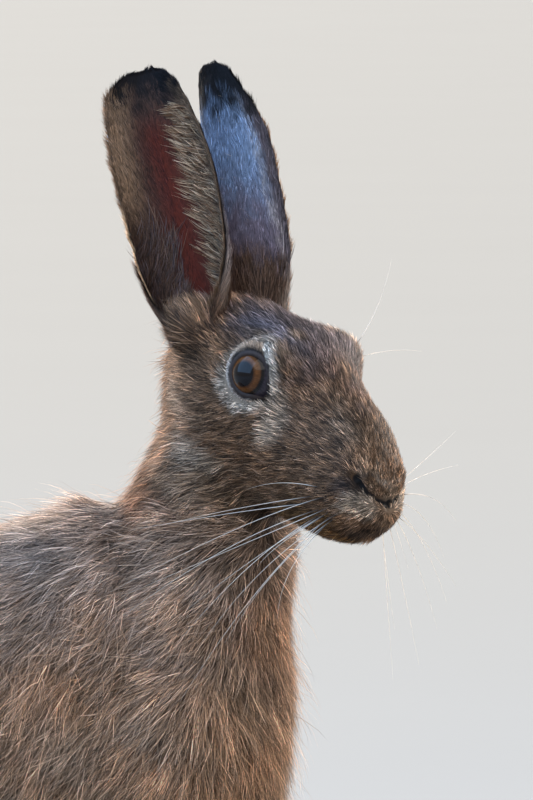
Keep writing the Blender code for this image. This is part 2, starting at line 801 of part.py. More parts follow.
def main():
    clear_scene()
    head_rows = np.array(SKULL, float)
    skull = loft("skull", head_rows, (0, 0, 1), sides=36, rings=60)
    skull.data.transform(HEAD)
    pieces = [skull, loft("trunk", TRUNK, (0, 0, 1)), loft("neck", NECK, (1, 0, 0))]
    pieces += limbs(1) + limbs(-1) + [ear_root(1), ear_root(-1)]
    whole = fused(pieces, "whole")

    cut_normal = (HEAD.to_3x3() @ HEAD_CUT_NORMAL).normalized()
    cut_point = HEAD @ HEAD_CUT_POINT
    head = copy_of(whole, "head")
    trim(head, cut_point - cut_normal * CUT_MARGIN, -cut_normal)
    trim(whole, cut_point + cut_normal * CUT_MARGIN, cut_normal)
    swell(head)
    decimate(head, HEAD_TRIANGLES)
    finish_face(head)
    trim(head, cut_point + cut_normal * SEAM / 2, -cut_normal)

    trim(whole, Vector((0, 0, 0)), Vector((0, 0, -1)))
    decimate(whole, BODY_TRIANGLES)
    trim(whole, Vector((0, 0, 0.2 * MM)), Vector((0, 0, -1)))
    trim(whole, cut_point - cut_normal * SEAM / 2, cut_normal)
    neck = copy_of(whole, "neck")
    trim(neck, NECK_CUT_POINT + NECK_CUT_NORMAL * SEAM / 2, -NECK_CUT_NORMAL)
    trim(whole, NECK_CUT_POINT - NECK_CUT_NORMAL * SEAM / 2, NECK_CUT_NORMAL)
    limb_nodes = part_limbs(whole)
    whole.name = "torso"

    tail = loft("tail", TAIL, (0, 0, 1), sides=16, rings=14)
    set_against(tail, whole)

    fleshy = [whole, neck, head, tail, *limb_nodes.values()]
    for side in (1, -1):
        leaf = ear(side)
        set_against(leaf, head)
        fleshy.append(leaf)
    eyes = [eye(1), eye(-1)]
    claws = []
    for side, word in ((1, "left"), (-1, "right")):
        claws += claws_of(limb_nodes[f"forefoot_{word}"], side, True)
        claws += claws_of(limb_nodes[f"hindfoot_{word}"], side, False)

    stand_on_floor(fleshy + eyes + claws)
    for slot, group in (("coat", fleshy), ("eye", eyes), ("claw", claws)):
        made = material(slot)
        for node in group:
            finish(node, made)


main()
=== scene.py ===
"""A brown hare at life size: its skin, ears, eyes, coat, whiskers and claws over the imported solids.

Metres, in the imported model's frame: +X to the hare's front, +Y to its left, +Z up. The solids reach
out to the tips of the coat, so the skin lies inside them by the coat's depth and the tufts fill the
space between. Tables are in millimetres, and a row for the left side serves the right side too.
"""

import itertools
import math

import bmesh
import bpy
import numpy as np
from mathutils import Matrix, Vector


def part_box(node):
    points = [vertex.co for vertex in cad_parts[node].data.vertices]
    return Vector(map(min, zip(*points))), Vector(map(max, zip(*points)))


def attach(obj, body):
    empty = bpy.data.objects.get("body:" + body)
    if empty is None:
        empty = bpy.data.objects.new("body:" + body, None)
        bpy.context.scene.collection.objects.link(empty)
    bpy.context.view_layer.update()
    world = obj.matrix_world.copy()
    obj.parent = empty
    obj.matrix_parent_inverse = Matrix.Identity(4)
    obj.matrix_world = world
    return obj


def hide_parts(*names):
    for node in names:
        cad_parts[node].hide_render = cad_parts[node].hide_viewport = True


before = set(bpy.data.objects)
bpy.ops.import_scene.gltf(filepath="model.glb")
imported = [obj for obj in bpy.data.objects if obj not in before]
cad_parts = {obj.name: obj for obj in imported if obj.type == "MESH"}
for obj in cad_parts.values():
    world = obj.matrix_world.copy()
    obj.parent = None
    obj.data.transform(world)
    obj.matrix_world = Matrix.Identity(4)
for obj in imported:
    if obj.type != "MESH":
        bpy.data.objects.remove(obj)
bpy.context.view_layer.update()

MM = 0.001
SEED = 11

FLESH = ["torso", "neck", "head", "tail"] + [
    f"{part}_{word}"
    for word in ("left", "right")
    for part in ("upper_arm", "forearm", "forefoot", "thigh", "shank", "hindfoot")
]
EARS = ["ear_left", "ear_right"]
SIDES = {1: "left", -1: "right"}

# The head's own frame: its back near x = 0, its nose at x = 120 mm, its left at +Y
HEAD_TURN_DEG = 43
HEAD_PITCH_DEG = 24
HEAD_ROLL_DEG = 3
HEAD_PLACE = np.array((35.5, 4, 336)) * MM
EYE_CENTRE = np.array((52.5, 18.3, 15)) * MM
EYE_AXIS = np.array((0.22, 0.96, 0.14))
EYE_RADIUS = 11 * MM


def unit(rows):
    """Each row divided by its own length."""
    return rows / np.maximum(np.linalg.norm(rows, axis=-1, keepdims=True), 1e-12)


def head_axes():
    """The head's forward, left and upward directions after its turn, its dip and its roll."""
    turn = Matrix.Rotation(math.radians(-HEAD_TURN_DEG), 3, "Z")
    pitch = Matrix.Rotation(math.radians(HEAD_PITCH_DEG), 3, "Y")
    roll = Matrix.Rotation(math.radians(HEAD_ROLL_DEG), 3, "X")
    return np.array(turn @ pitch @ roll)


def middle(node):
    """The middle of a solid's box."""
    low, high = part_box(node)
    return np.array((low + high) / 2)


# The two eyes fix where the head is, and the head fixes where the body's tables are measured from.
HEAD_AXES = head_axes()
BETWEEN_EYES = EYE_CENTRE * (1, 0, 1)
HEAD_ORIGIN = (middle("eye_left") + middle("eye_right")) / 2 - HEAD_AXES @ BETWEEN_EYES
BODY_ORIGIN = HEAD_ORIGIN - HEAD_PLACE


def to_head(points):
    """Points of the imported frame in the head's frame."""
    return (points - HEAD_ORIGIN) @ HEAD_AXES


def from_head(points):
    """Points of the head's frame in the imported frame."""
    return points @ HEAD_AXES.T + HEAD_ORIGIN


def mirrored(vector, side):
    """A left-hand vector, or its mirror image where side is -1."""
    return np.asarray(vector, float) * (1, side, 1)


def linear(red, green, blue):
    """A colour on the 0 to 255 scale as linear light."""
    share = np.array((red, green, blue)) / 255
    return np.where(share <= 0.04045, share / 12.92, ((share + 0.055) / 1.055) ** 2.4)


def ease(low, high, values):
    """0 below low, 1 above high and a smooth step between."""
    share = np.clip((values - low) / (high - low), 0, 1)
    return share * share * (3 - 2 * share)


def blend(ground, paint, share):
    """ground where the share is 0, paint where it is 1, and a mix of the two between."""
    share = share[:, None]
    return ground * (1 - share) + paint * share


# Smooth and cellular noise as whole arrays


def waves(points, size, seed, count=18):
    """Smooth noise of about unit spread: a sum of sines in random directions, size metres apart."""
    rng = np.random.default_rng(seed)
    ways = unit(rng.normal(size=(count, 3))) * rng.uniform(0.6, 1.6, (count, 1)) * 2 * math.pi / size
    start = rng.uniform(0, 2 * math.pi, count)
    return np.sin(points @ ways.T + start).sum(1) * math.sqrt(2 / count)


# Large odd numbers and shifts that turn a cell's place into even chances
PLACE_FACTORS = np.array((73856093, 19349663, 83492791), np.uint64)
SEED_FACTOR = 2654435761
SHARE_FACTOR = 97531
SCRAMBLES = ((np.uint64(15), np.uint64(2246822519)), (np.uint64(13), np.uint64(3266489917)))
LAST_SHIFT = np.uint64(16)
WORD_BITS = np.uint64(0xFFFFFFFF)
SHARE_BITS = 0xFFFFFF
# Added to a cell's number, so that none is below zero
CELL_START = 4096


def scrambled(cells, seed):
    """Three random shares for each whole-numbered cell, from products and shifts of its place."""
    x, y, z = (cells.astype(np.uint64) * PLACE_FACTORS).T
    shares = []
    for k in range(3):
        mixed = x ^ y ^ z ^ np.uint64(seed * SEED_FACTOR + k * SHARE_FACTOR)
        for shift, factor in SCRAMBLES:
            mixed = (mixed ^ (mixed >> shift)) * factor & WORD_BITS
        shares.append(((mixed ^ (mixed >> LAST_SHIFT)) & np.uint64(SHARE_BITS)) / SHARE_BITS)
    return np.stack(shares, axis=1)


def locks(points, cell, seed):
    """For each point the nearest lock's centre and three random shares; one lock lies in each cell."""
    home = np.floor(points / cell).astype(np.int64) + CELL_START
    nearest = np.full(len(points), np.inf)
    centre = np.zeros_like(points)
    shares = np.zeros_like(points)
    for step in itertools.product((-1, 0, 1), repeat=3):
        cells = home + np.array(step)
        chance = scrambled(cells, seed)
        spot = (cells - CELL_START + chance) * cell
        away = ((spot - points) ** 2).sum(1)
        nearer = away < nearest
        nearest[nearer] = away[nearer]
        centre[nearer] = spot[nearer]
        shares[nearer] = chance[nearer]
    return centre, shares


def to_polyline(points, path):
    """Distance from each point to a path of straight pieces, and the share of the way along it."""
    path = np.asarray(path, float)
    best = np.full(len(points), np.inf)
    share = np.zeros(len(points))
    for i, (start, end) in enumerate(zip(path[:-1], path[1:])):
        along = end - start
        t = np.clip((points - start) @ along / (along @ along), 0, 1)
        away = np.linalg.norm(points - start - t[:, None] * along, axis=1)
        nearer = away < best
        best[nearer] = away[nearer]
        share[nearer] = (i + t[nearer]) / (len(path) - 1)
    return best, share


# Meshes from arrays


def new_object(name, data):
    """An object in the scene for a mesh, a light or a camera."""
    made = bpy.data.objects.new(name, data)
    bpy.context.scene.collection.objects.link(made)
    return made


def mesh_object(name, points, faces, smooth=True):
    """A mesh object of triangles or of quads, from arrays of corners and faces."""
    mesh = bpy.data.meshes.new(name)
    mesh.vertices.add(len(points))
    mesh.loops.add(faces.size)
    mesh.loops.foreach_set("vertex_index", np.asarray(faces, np.int32).ravel())
    mesh.polygons.add(len(faces))
    mesh.polygons.foreach_set("loop_start", np.arange(0, faces.size, faces.shape[1], dtype=np.int32))
    mesh.vertices.foreach_set("co", np.asarray(points, np.float32).ravel())
    mesh.update(calc_edges=True)
    if smooth:
        mesh.shade_smooth()
    return new_object(name, mesh)


def vertices_of(mesh, kind="co"):
    """The places of a mesh's points as rows, or their normals."""
    rows = np.empty(len(mesh.vertices) * 3)
    mesh.vertices.foreach_get(kind, rows)
    return rows.reshape(-1, 3)


def set_vertices(mesh, points):
    """Moves a mesh's points to the rows given."""
    mesh.vertices.foreach_set("co", np.asarray(points, np.float32).ravel())
    mesh.update()


def apply_modifiers(thing):
    """Puts an object's mesh with its modifiers in place of the one without them."""
    seen = thing.evaluated_get(bpy.context.evaluated_depsgraph_get())
    thing.data = bpy.data.meshes.new_from_object(seen)
    thing.modifiers.clear()


def close_edit(bm, mesh):
    """Writes an edited copy back to its mesh."""
    bm.to_mesh(mesh)
    bm.free()
    mesh.update()


def grid_faces(rows, columns):
    """The quads of a grid of points whose columns close into rings."""
    i, j = np.meshgrid(np.arange(rows - 1), np.arange(columns), indexing="ij")
    k = (j + 1) % columns
    corners = np.stack([i * columns + j, i * columns + k, (i + 1) * columns + k, (i + 1) * columns + j])
    return corners.reshape(4, -1).T


def write_colour(mesh, colours):
    """The colour attribute of coat and skin, with one colour for each point."""
    layer = mesh.color_attributes.new("coat", "FLOAT_COLOR", "POINT")
    whole = np.ones((len(colours), 4), np.float32)
    whole[:, :3] = colours
    layer.data.foreach_set("color", whole.ravel())


def write_map(mesh, corner_uv):
    """The map that the skin's own unwrap gives, with one place for each corner of each face."""
    layer = mesh.uv_layers.new(name="OFBake")
    layer.uv.foreach_set("vector", np.asarray(corner_uv, np.float32).ravel())


def dress(thing, material, slot, *nodes):
    """Gives a finished piece its material and its body, and hides the solids that it stands for; slot is
    not used.
    """
    thing.data.materials.clear()
    thing.data.materials.append(material)
    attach(thing, "root")
    if nodes:
        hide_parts(*nodes)


# The coat's lie, depth, length and density: place, direction of the tips, depth and length in
# millimetres, and tufts to a square millimetre. The head's rows are in the head's frame.

HEAD_COAT = (
    ((119, 0, -4), (-0.3, 0.1, 1), 0.5, 2, 6),
    ((117, 6, -5), (-0.5, 0.4, 0.8), 0.6, 2.2, 6),
    ((117, 4, -15), (-0.1, 0.35, -1), 0.9, 4, 5),
    ((110, 13, -16), (-0.7, 0.35, -0.65), 1.4, 6, 4.4),
    ((112, 2, 3), (-1, 0.05, 0.4), 1, 3.2, 5.2),
    ((101, 18, -14), (-0.9, 0.2, -0.35), 1.8, 6.2, 3.8),
    ((108, 5, -32), (-0.6, 0.1, -0.6), 1.6, 6, 3.6),
    ((95, 0, 17), (-1, 0, 0.1), 1.8, 6, 3.8),
    ((92, 15, 8), (-1, 0.12, 0.05), 2, 6.4, 3.6),
    ((88, 20, -24), (-0.9, 0.15, -0.35), 2.6, 8, 3.2),
    ((74, 22, 10), (-0.8, 0.25, 0.35), 1.8, 5.6, 4),
    ((74, 22, -6), (-0.9, 0.2, -0.35), 2.2, 7, 3.4),
    ((72, 0, 31), (-1, 0, 0.1), 2.4, 7.5, 3.4),
    ((63, 16, 31), (-0.9, 0.15, 0.3), 1.8, 6.5, 3.8),
    ((53, 24, 29), (-0.6, 0.35, 0.9), 1.4, 6.6, 4.2),
    ((53, 26, 2), (-0.75, 0.2, -0.7), 1.4, 5.2, 4.2),
    ((40, 28, 14), (-1, 0.1, 0), 1.8, 6.5, 3.8),
    ((35, 0, 36), (-1, 0, 0.05), 3.2, 10, 3),
    ((35, 22, 28), (-1, 0.1, 0.25), 2.6, 8.5, 3.2),
    ((46, 28, -14), (-0.85, 0.1, -0.5), 3.6, 10.5, 2.9),
    ((20, 26, -6), (-0.9, 0.1, -0.45), 4.4, 12.5, 2.6),
    ((20, 24, 18), (-0.8, 0.2, -0.1), 3, 9.5, 3),
    ((62, 20, -36), (-0.85, 0.1, -0.45), 3.8, 11, 2.7),
    ((60, 0, -43), (-1, 0, -0.3), 4.4, 12, 2.4),
    ((36, 14, -42), (-0.8, 0.1, -0.6), 5.4, 15, 2.2),
    ((2, 12, 18), (-0.6, 0.1, -0.6), 4.6, 13, 2.5),
    ((6, 20, -14), (-0.6, 0.15, -0.8), 5.6, 15, 2.2),
    ((9, 19, 25), (-0.5, 0.15, 0.85), 6, 11, 3.2),
    ((18, 22, 20), (-0.55, 0.15, 0.7), 4.6, 11, 3.2),
)

BODY_COAT = (
    ((14, 8, 308), (-0.5, 0.1, -0.9), 6, 16, 2.6),
    ((34, 32, 288), (-0.6, 0.1, -0.8), 6.5, 17, 2.5),
    ((76, 8, 272), (-0.1, 0.2, -1), 7.5, 20, 2.4),
    ((6, 16, 266), (-0.8, 0.1, -0.6), 7.5, 20, 2.3),
    ((38, 42, 252), (-0.7, 0.1, -0.75), 8, 21, 2.4),
    ((60, 38, 240), (-0.3, 0.1, -1), 8.5, 22, 2.4),
    ((-24, 18, 264), (-0.8, 0.1, -0.5), 8, 21, 2.2),
    ((-4, 46, 248), (-0.4, 0.1, -0.95), 8.5, 22, 2.3),
    ((14, 54, 232), (-0.85, 0.1, -0.55), 8.5, 22, 2.3),
    ((-20, 58, 214), (-0.3, 0.1, -1), 9, 23, 2.2),
    ((30, 54, 216), (-0.8, 0.1, -0.65), 9, 23, 2.3),
    ((2, 62, 186), (-0.75, 0.1, -0.7), 9, 23, 2.1),
    ((84, 10, 222), (0.15, 0.2, -1), 9, 24, 2.4),
    ((54, 46, 190), (0.05, 0.1, -1), 9.5, 25, 2.3),
    ((68, 34, 194), (0.25, 0.1, -1), 9.5, 25, 2.3),
    ((76, 8, 170), (0.1, 0.1, -1), 9.5, 25, 1.8),
    ((34, 8, 108), (-0.7, 0.1, -0.6), 7.5, 20, 0.9),
    ((4, 58, 158), (-0.4, 0.1, -1), 6.5, 18, 0.9),
    ((8, 46, 118), (-0.1, 0.1, -1), 4.5, 12, 1),
    ((22, 40, 74), (0, 0, -1), 3, 9, 1.2),
    ((32, 36, 36), (0.2, 0, -1), 2.2, 7, 1.5),
    ((52, 27, 22), (1, 0, -0.35), 1.5, 5.5, 1.8),
    ((66, 27, 8), (0.9, 0, -0.6), 1, 4, 2),
    ((-100, 10, 232), (-1, 0.1, -0.05), 8.5, 22, 0.75),
    ((-60, 60, 205), (-0.9, 0.1, -0.45), 9, 24, 0.9),
    ((-110, 70, 150), (-0.85, 0.1, -0.5), 9, 24, 0.65),
    ((-60, 56, 120), (-0.85, 0, -0.45), 8.5, 23, 0.6),
    ((-90, 10, 82), (-1, 0, -0.1), 7.5, 21, 0.5),
    ((-200, 12, 208), (-0.95, 0.1, -0.25), 8.5, 22, 0.65),
    ((-180, 74, 160), (-0.85, 0.1, -0.5), 8.5, 22, 0.65),
    ((-270, 24, 140), (-0.4, 0.1, -0.9), 8, 21, 0.65),
    ((-210, 88, 110), (-0.6, 0.1, -0.8), 7, 19, 0.7),
    ((-130, 84, 84), (-0.3, 0.1, -0.9), 5.5, 15, 0.8),
    ((-170, 78, 50), (-0.5, 0, -0.7), 4, 11, 0.9),
    ((-240, 70, 40), (-0.3, 0, -0.9), 3.5, 10, 0.9),
    ((-190, 62, 26), (0.9, 0, -0.35), 2.4, 8, 1.1),
    ((-125, 59, 18), (1, 0, -0.35), 1.6, 6, 1.5),
    ((-104, 59, 8), (0.9, 0, -0.6), 1, 4, 1.8),
    ((-262, 57, 20), (0.1, 0, -1), 2.4, 7.5, 1.1),
    ((-292, 4, 96), (-0.7, 0.1, -0.75), 6, 17, 0.9),
    ((-312, 6, 60), (-0.2, 0.1, -1), 6, 17, 0.9),
    ((-310, 2, 30), (0, 0, -1), 4, 12, 1),
)


def coat_anchors():
    """Every row of the two tables and its mirror image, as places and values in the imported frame."""
    places, values, reaches = [], [], []
    tables = (
        (HEAD_COAT, HEAD_ORIGIN, HEAD_AXES, 7 * MM),
        (BODY_COAT, BODY_ORIGIN, np.eye(3), 16 * MM),
    )
    for rows, origin, axes, reach in tables:
        for place, way, depth, length, density in rows:
            for side in (1, -1):
                places.append(mirrored(place, side) * MM @ axes.T + origin)
                values.append((*(unit(mirrored(way, side)) @ axes.T), depth * MM, length * MM, density))
                reaches.append(reach)
    return np.array(places), np.array(values), np.array(reaches)


ANCHORS = coat_anchors()
# Points that one block of the distance table takes
CHUNK = 20000


def coat_at(points):
    """The coat's direction, depth, length and density at each point, from the rows near it.

    Each row weighs 1 / (distance squared + reach squared) squared.
    """
    places, values, reaches = ANCHORS
    blocks = []
    for start in range(0, len(points), CHUNK):
        some = points[start : start + CHUNK]
        away = (some**2).sum(1)[:, None] + (places**2).sum(1) - 2 * some @ places.T
        weight = 1 / (np.maximum(away, 0) + reaches**2) ** 2
        blocks.append(weight @ values / weight.sum(1, keepdims=True))
    found = np.vstack(blocks)
    return found[:, :3], found[:, 3], found[:, 4], found[:, 5]


# Colours of the coat, on the 0 to 255 scale, and the patches that they lie in

BROWN = linear(180, 143, 111)
GREY_BROWN = linear(166, 138, 118)
RUFOUS = linear(166, 122, 90)
NECK_BROWN = linear(136, 84, 50)
# Grey of the crown with painted cool skylight in it
CROWN_GREY_AND_PAINTED_SKYLIGHT = linear(118, 110, 116)
BUFF = linear(176, 142, 110)
PALE_GREY = linear(190, 164, 138)
WHITE = linear(222, 216, 208)
RING_PALE = linear(206, 186, 164)
DARK_BROWN = linear(70, 56, 48)
HEAD_BROWN = linear(130, 95, 67)
GOLDEN_BROWN = linear(122, 86, 46)
SOOT = linear(20, 15, 15)

# Each patch: frame, centre and half sizes in millimetres, colour and strength
PATCHES = (
    ("body", (-100, 0, 250), (230, 60, 60), GREY_BROWN, 0.75),
    ("body", (-80, 0, 60), (190, 46, 48), WHITE, 0.95),
    ("body", (30, 0, 90), (50, 30, 40), WHITE, 0.8),
    ("body", (20, 44, 60), (40, 30, 70), RUFOUS, 0.7),
    ("body", (-170, 70, 30), (120, 40, 40), RUFOUS, 0.6),
    ("body", (78, 0, 235), (30, 40, 75), RUFOUS, 0.3),
    ("body", (26, 20, 300), (40, 34, 30), NECK_BROWN, 0.75),
    ("body", (-316, 0, 70), (30, 14, 44), SOOT, 1),
    ("body", (-296, 0, 62), (14, 34, 50), WHITE, 0.9),
    ("head", (60, 0, -6), (96, 60, 50), HEAD_BROWN, 0.95),
    # The crown: grey with painted cool skylight
    ("head", (60, 0, 40), (60, 28, 24), CROWN_GREY_AND_PAINTED_SKYLIGHT, 0.8),
    ("head", (90, 0, 20), (34, 16, 14), HEAD_BROWN, 0.5),
    ("head", (44, 28, -23), (22, 12, 5.5), PALE_GREY, 0.7),
    ("head", (20, 30, -10), (18, 14, 6), PALE_GREY, 0.4),
    ("head", (58, 26, -34), (40, 16, 8), BUFF, 0.45),
    ("head", (72, 22, 4), (6, 9, 11), PALE_GREY, 0.7),
    ("head", (54, 24, 30), (12, 9, 4.5), PALE_GREY, 0.85),
    ("head", (104, 10, -32), (26, 18, 11), GOLDEN_BROWN, 0.8),
    ("head", (96, 0, -43), (30, 14, 6), WHITE, 0.5),
    ("head", (111, 12, -7), (8, 8, 3.6), DARK_BROWN, 0.85),
    ("head", (115, 9.5, -12.5), (7, 7, 4.6), PALE_GREY, 0.95),
    # Painted shade: a dark patch on the upper lip along the line of the mouth
    ("head", (115, 6, -23), (7, 8, 4), DARK_BROWN, 0.8),
    ("head", (44, 0, 38), (34, 11, 8), DARK_BROWN, 0.6),
    ("head", (62, 9, 36), (7, 6, 5), BUFF, 0.7),
    ("head", (118, 0, -12), (5, 6, 10), PALE_GREY, 0.5),
    # Painted shade: a dark patch in the slit and hollow at the root of the ear
    ("head", (6, 19, 27), (13, 12, 8), DARK_BROWN, 0.35),
)

# The pale ring round each eye: how far out it lies, its width and its strength
EYE_RING = 11.55 * MM
EYE_RING_WIDTH = 4.4 * MM
EYE_RING_SHARE = 0.8
# Where a patch begins to fade and where it ends, in its own half sizes
PATCH_FADE = (0.55, 1.25)
RING_FADE = (0.5, 1.3)


def one_sided(points):
    """Points with those on the right side mirrored to the left."""
    return np.stack([points[:, 0], np.abs(points[:, 1]), points[:, 2]], axis=1)


def eye_distance(local):
    """Distance in the head's frame from the middle of the eye on the same side."""
    front = EYE_CENTRE + unit(EYE_AXIS) * EYE_RADIUS
    return np.linalg.norm(one_sided(local) - front, axis=1)


def ellipsoid_distance(points, centre, sizes):
    """Distance from an ellipsoid's centre, as 1 on its surface."""
    return np.linalg.norm((points - centre) / np.array(sizes, float), axis=1)


def coat_colour(points):
    """The coat's colour at each point: soft patches laid one over another on a brown ground, among them
    painted shade at the ear's root and by the mouth, and painted cool skylight on the crown.
    """
    spots = {
        "head": one_sided(to_head(points) / MM),
        "body": one_sided((points - BODY_ORIGIN) / MM),
    }
    ragged = waves(points, 22 * MM, SEED + 1) * 0.12 + waves(points, 7 * MM, SEED + 2) * 0.08
    colour = np.tile(BROWN, (len(points), 1))
    for where, centre, sizes, paint, strength in PATCHES:
        away = ellipsoid_distance(spots[where], centre, sizes) + ragged
        colour = blend(colour, paint, strength * (1 - ease(*PATCH_FADE, away)))
    off_ring = np.abs(eye_distance(to_head(points)) - EYE_RING) / EYE_RING_WIDTH + ragged
    colour = blend(colour, RING_PALE, EYE_RING_SHARE * (1 - ease(*RING_FADE, off_ring)))
    warm = waves(points, 45 * MM, SEED + 3) * 0.06
    colour = colour * (1 + np.stack([warm, warm * 0.4, -warm * 0.3], axis=1))
    return colour * (1 + 0.09 * waves(points, 12 * MM, SEED + 4))[:, None]


# Skin

SWELL = 0.35 * MM
SKIN_VOXEL = 2.9 * MM
SKIN_SMOOTHING = 8
FINE_ZONES = (
    ((60, 0, 0), (78, 60, 62)),
    ((108, 0, -14), (22, 26, 26)),
)


def fused_flesh():
    """One closed skin round copies of the flesh solids and the eyes, at the coat's tips."""
    bm = bmesh.new()
    for name in FLESH + ["eye_left", "eye_right"]:
        bm.from_mesh(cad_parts[name].data)
    bmesh.ops.remove_doubles(bm, verts=bm.verts, dist=0.01 * MM)
    mesh = bpy.data.meshes.new("skin")
    bm.to_mesh(mesh)
    bm.free()
    set_vertices(mesh, vertices_of(mesh) + vertices_of(mesh, "normal") * SWELL)
    whole = new_object("skin", mesh)
    remesh = whole.modifiers.new("fuse", "REMESH")
    remesh.mode = "VOXEL"
    remesh.voxel_size = SKIN_VOXEL
    for k in range(SKIN_SMOOTHING):
        for factor in (0.6, -0.63):
            soften = whole.modifiers.new(f"soften {k}", "SMOOTH")
            soften.factor = factor
            soften.iterations = 1
    apply_modifiers(whole)
    return whole


def refine(thing):
    """Halves the edges of the head, and once more those of the muzzle."""
    for centre, sizes in FINE_ZONES:
        bm = bmesh.new()
        bm.from_mesh(thing.data)
        bm.edges.ensure_lookup_table()
        ends = np.array([[v.index for v in edge.verts] for edge in bm.edges])
        local = to_head(vertices_of(thing.data)[ends].mean(1)) / MM
        inside = ellipsoid_distance(local, centre, sizes) < 1
        chosen = [bm.edges[i] for i in np.flatnonzero(inside)]
        bmesh.ops.subdivide_edges(bm, edges=chosen, cuts=1, use_grid_fill=True)
        bmesh.ops.triangulate(bm, faces=[face for face in bm.faces if len(face.verts) > 4])
        close_edit(bm, thing.data)
    soften = thing.modifiers.new("soften", "SMOOTH")
    soften.iterations = 2
    apply_modifiers(thing)


# Furrows of the face in the head's frame, in millimetres: the left half of each, width and depth
MOUTH = ((97, 17, -31.5), (104, 14.5, -31), (110, 11, -28.5), (114.5, 6, -24.5), (116, 0, -21.5))
LIP_CLEFT = ((119.5, 0, -10.5), (118.5, 0, -15), (117, 0, -19), (115.5, 0, -23))
NOSTRIL = ((119, 1.6, -11.4), (117, 5.4, -9.6), (114.2, 9.4, -6.6), (110.8, 12.6, -2.6))
NOSTRIL_WING = ((118.5, 3, -6), (116, 7.5, -3.4), (112.5, 11, 0.5))
FURROWS = (
    (MOUTH, 1.4, 1.8),
    (LIP_CLEFT, 1.3, 2.5),
    (NOSTRIL, 1.9, 4.2),
    (NOSTRIL_WING, 2.8, -1.0),
)


def carve_face(thing):
    """Sinks each furrow into the skin: depth x exp(-(distance to its path / width) squared)."""
    points = vertices_of(thing.data)
    normals = vertices_of(thing.data, "normal")
    local = one_sided(to_head(points)) / MM
    sink = np.zeros(len(points))
    for path, width, depth in FURROWS:
        away, share = to_polyline(local, path)
        fade = np.clip(np.sin(np.pi * np.clip(share, 0.06, 0.94)) * 2.2, 0.3, 1)
        sink += depth * MM * fade * np.exp(-((away / width) ** 2))
    set_vertices(thing.data, points - normals * sink[:, None])


# How far bare skin reaches from the middle of each of these furrows, and its soft edge, in millimetres
BARE = ((MOUTH, 1.1), (LIP_CLEFT, 1.3), (NOSTRIL, 1.3))
BARE_EDGE = 0.9


def bareness(points):
    """1 in the nostrils, the cleft of the lip and the mouth, 0 under the coat."""
    local = one_sided(to_head(points)) / MM
    bare = np.zeros(len(points))
    for path, reach in BARE:
        away, _ = to_polyline(local, path)
        bare = np.maximum(bare, 1 - ease(reach, reach + BARE_EDGE, away))
    return bare


def lid_axes(side):
    """The eye's centre and its outward, forward and upward directions, in the head's frame."""
    axis = unit(mirrored(EYE_AXIS, side))
    forward = unit(np.array((1.0, 0, 0)) - axis * axis[0])
    upward = np.array((0, 0, 1.0))
    upward = unit(upward - axis * (upward @ axis) - forward * (upward @ forward))
    return mirrored(EYE_CENTRE, side), axis, forward, upward


LID_HALF_LENGTH = 8.2 * MM
LID_HALF_HEIGHT = 8.2 * MM
EYE_CORNER_REACH = 3.0 * MM
EYE_CORNER_ANGLE = math.radians(-28)
EYE_CORNER_SPREAD = 0.32


def lid_outline(angle):
    """How far the opening reaches at each angle: an ellipse drawn out to a corner, front and low."""
    off = np.remainder(angle - EYE_CORNER_ANGLE + math.pi, 2 * math.pi) - math.pi
    round_part = 1 / np.hypot(np.cos(angle) / LID_HALF_LENGTH, np.sin(angle) / LID_HALF_HEIGHT)
    flat_low = 1 - 0.05 * np.exp(-((np.sin(angle) + 1) ** 2) / 0.12)
    return round_part * flat_low + EYE_CORNER_REACH * np.exp(-((off / EYE_CORNER_SPREAD) ** 2))


def past_lids(local, side):
    """How far each point in the head's frame lies outside one eye's lid outline, seen along the eye's
    axis, and whether it lies in front of that eye.
    """
    centre, axis, forward, upward = lid_axes(side)
    off = local - centre
    ahead, high, out = off @ forward, off @ upward, off @ axis
    past = np.hypot(ahead, high) - lid_outline(np.arctan2(high, ahead))
    return past, (out > 0.3 * EYE_RADIUS) & (out < 3 * EYE_RADIUS)


def in_opening(points, margin):
    """Whether each point lies within the lids' outline, larger by margin, and in front of an eye."""
    found = np.zeros(len(points), bool)
    local = to_head(points)
    for side in (1, -1):
        past, before = past_lids(local, side)
        found |= (past < margin) & before
    return found


def open_eyes(thing):
    """Removes the skin that lies over each eye."""
    bm = bmesh.new()
    bm.from_mesh(thing.data)
    bm.verts.ensure_lookup_table()
    inside = in_opening(vertices_of(thing.data), 0.6 * MM)
    bmesh.ops.delete(bm, geom=[bm.verts[i] for i in np.flatnonzero(inside)], context="VERTS")
    close_edit(bm, thing.data)


# How far out from the lids' outline the skin stays under their rims, and where it no longer does
UNDER_LIDS = 0.45 * MM
LID_HOLD = (2.5 * MM, 7.5 * MM)
# Where the coat is thinnest by the eye, and where it has its full depth
THIN_COAT = (9 * MM, 20 * MM)


def sink_skin(thing):
    """Moves the skin in by the coat's depth, by almost nothing beside the eyes, and under the rims of
    the lids.
    """
    points = vertices_of(thing.data)
    normals = vertices_of(thing.data, "normal")
    off_eye = ease(*THIN_COAT, eye_distance(to_head(points)))
    depth = coat_at(points)[1] * off_eye + SWELL + 0.15 * MM
    local = to_head(points - normals * depth[:, None])
    for side in (1, -1):
        centre = mirrored(EYE_CENTRE, side)
        past, before = past_lids(local, side)
        share = np.where(before, 1 - ease(*LID_HOLD, past), 0)
        away = np.linalg.norm(local - centre, axis=1)
        low = np.minimum(away, EYE_RADIUS + UNDER_LIDS)
        local = centre + (local - centre) * ((away * (1 - share) + low * share) / away)[:, None]
    set_vertices(thing.data, from_head(local))


# Ears: a leaf rolled into a tube at its root and opening upwards into a trough

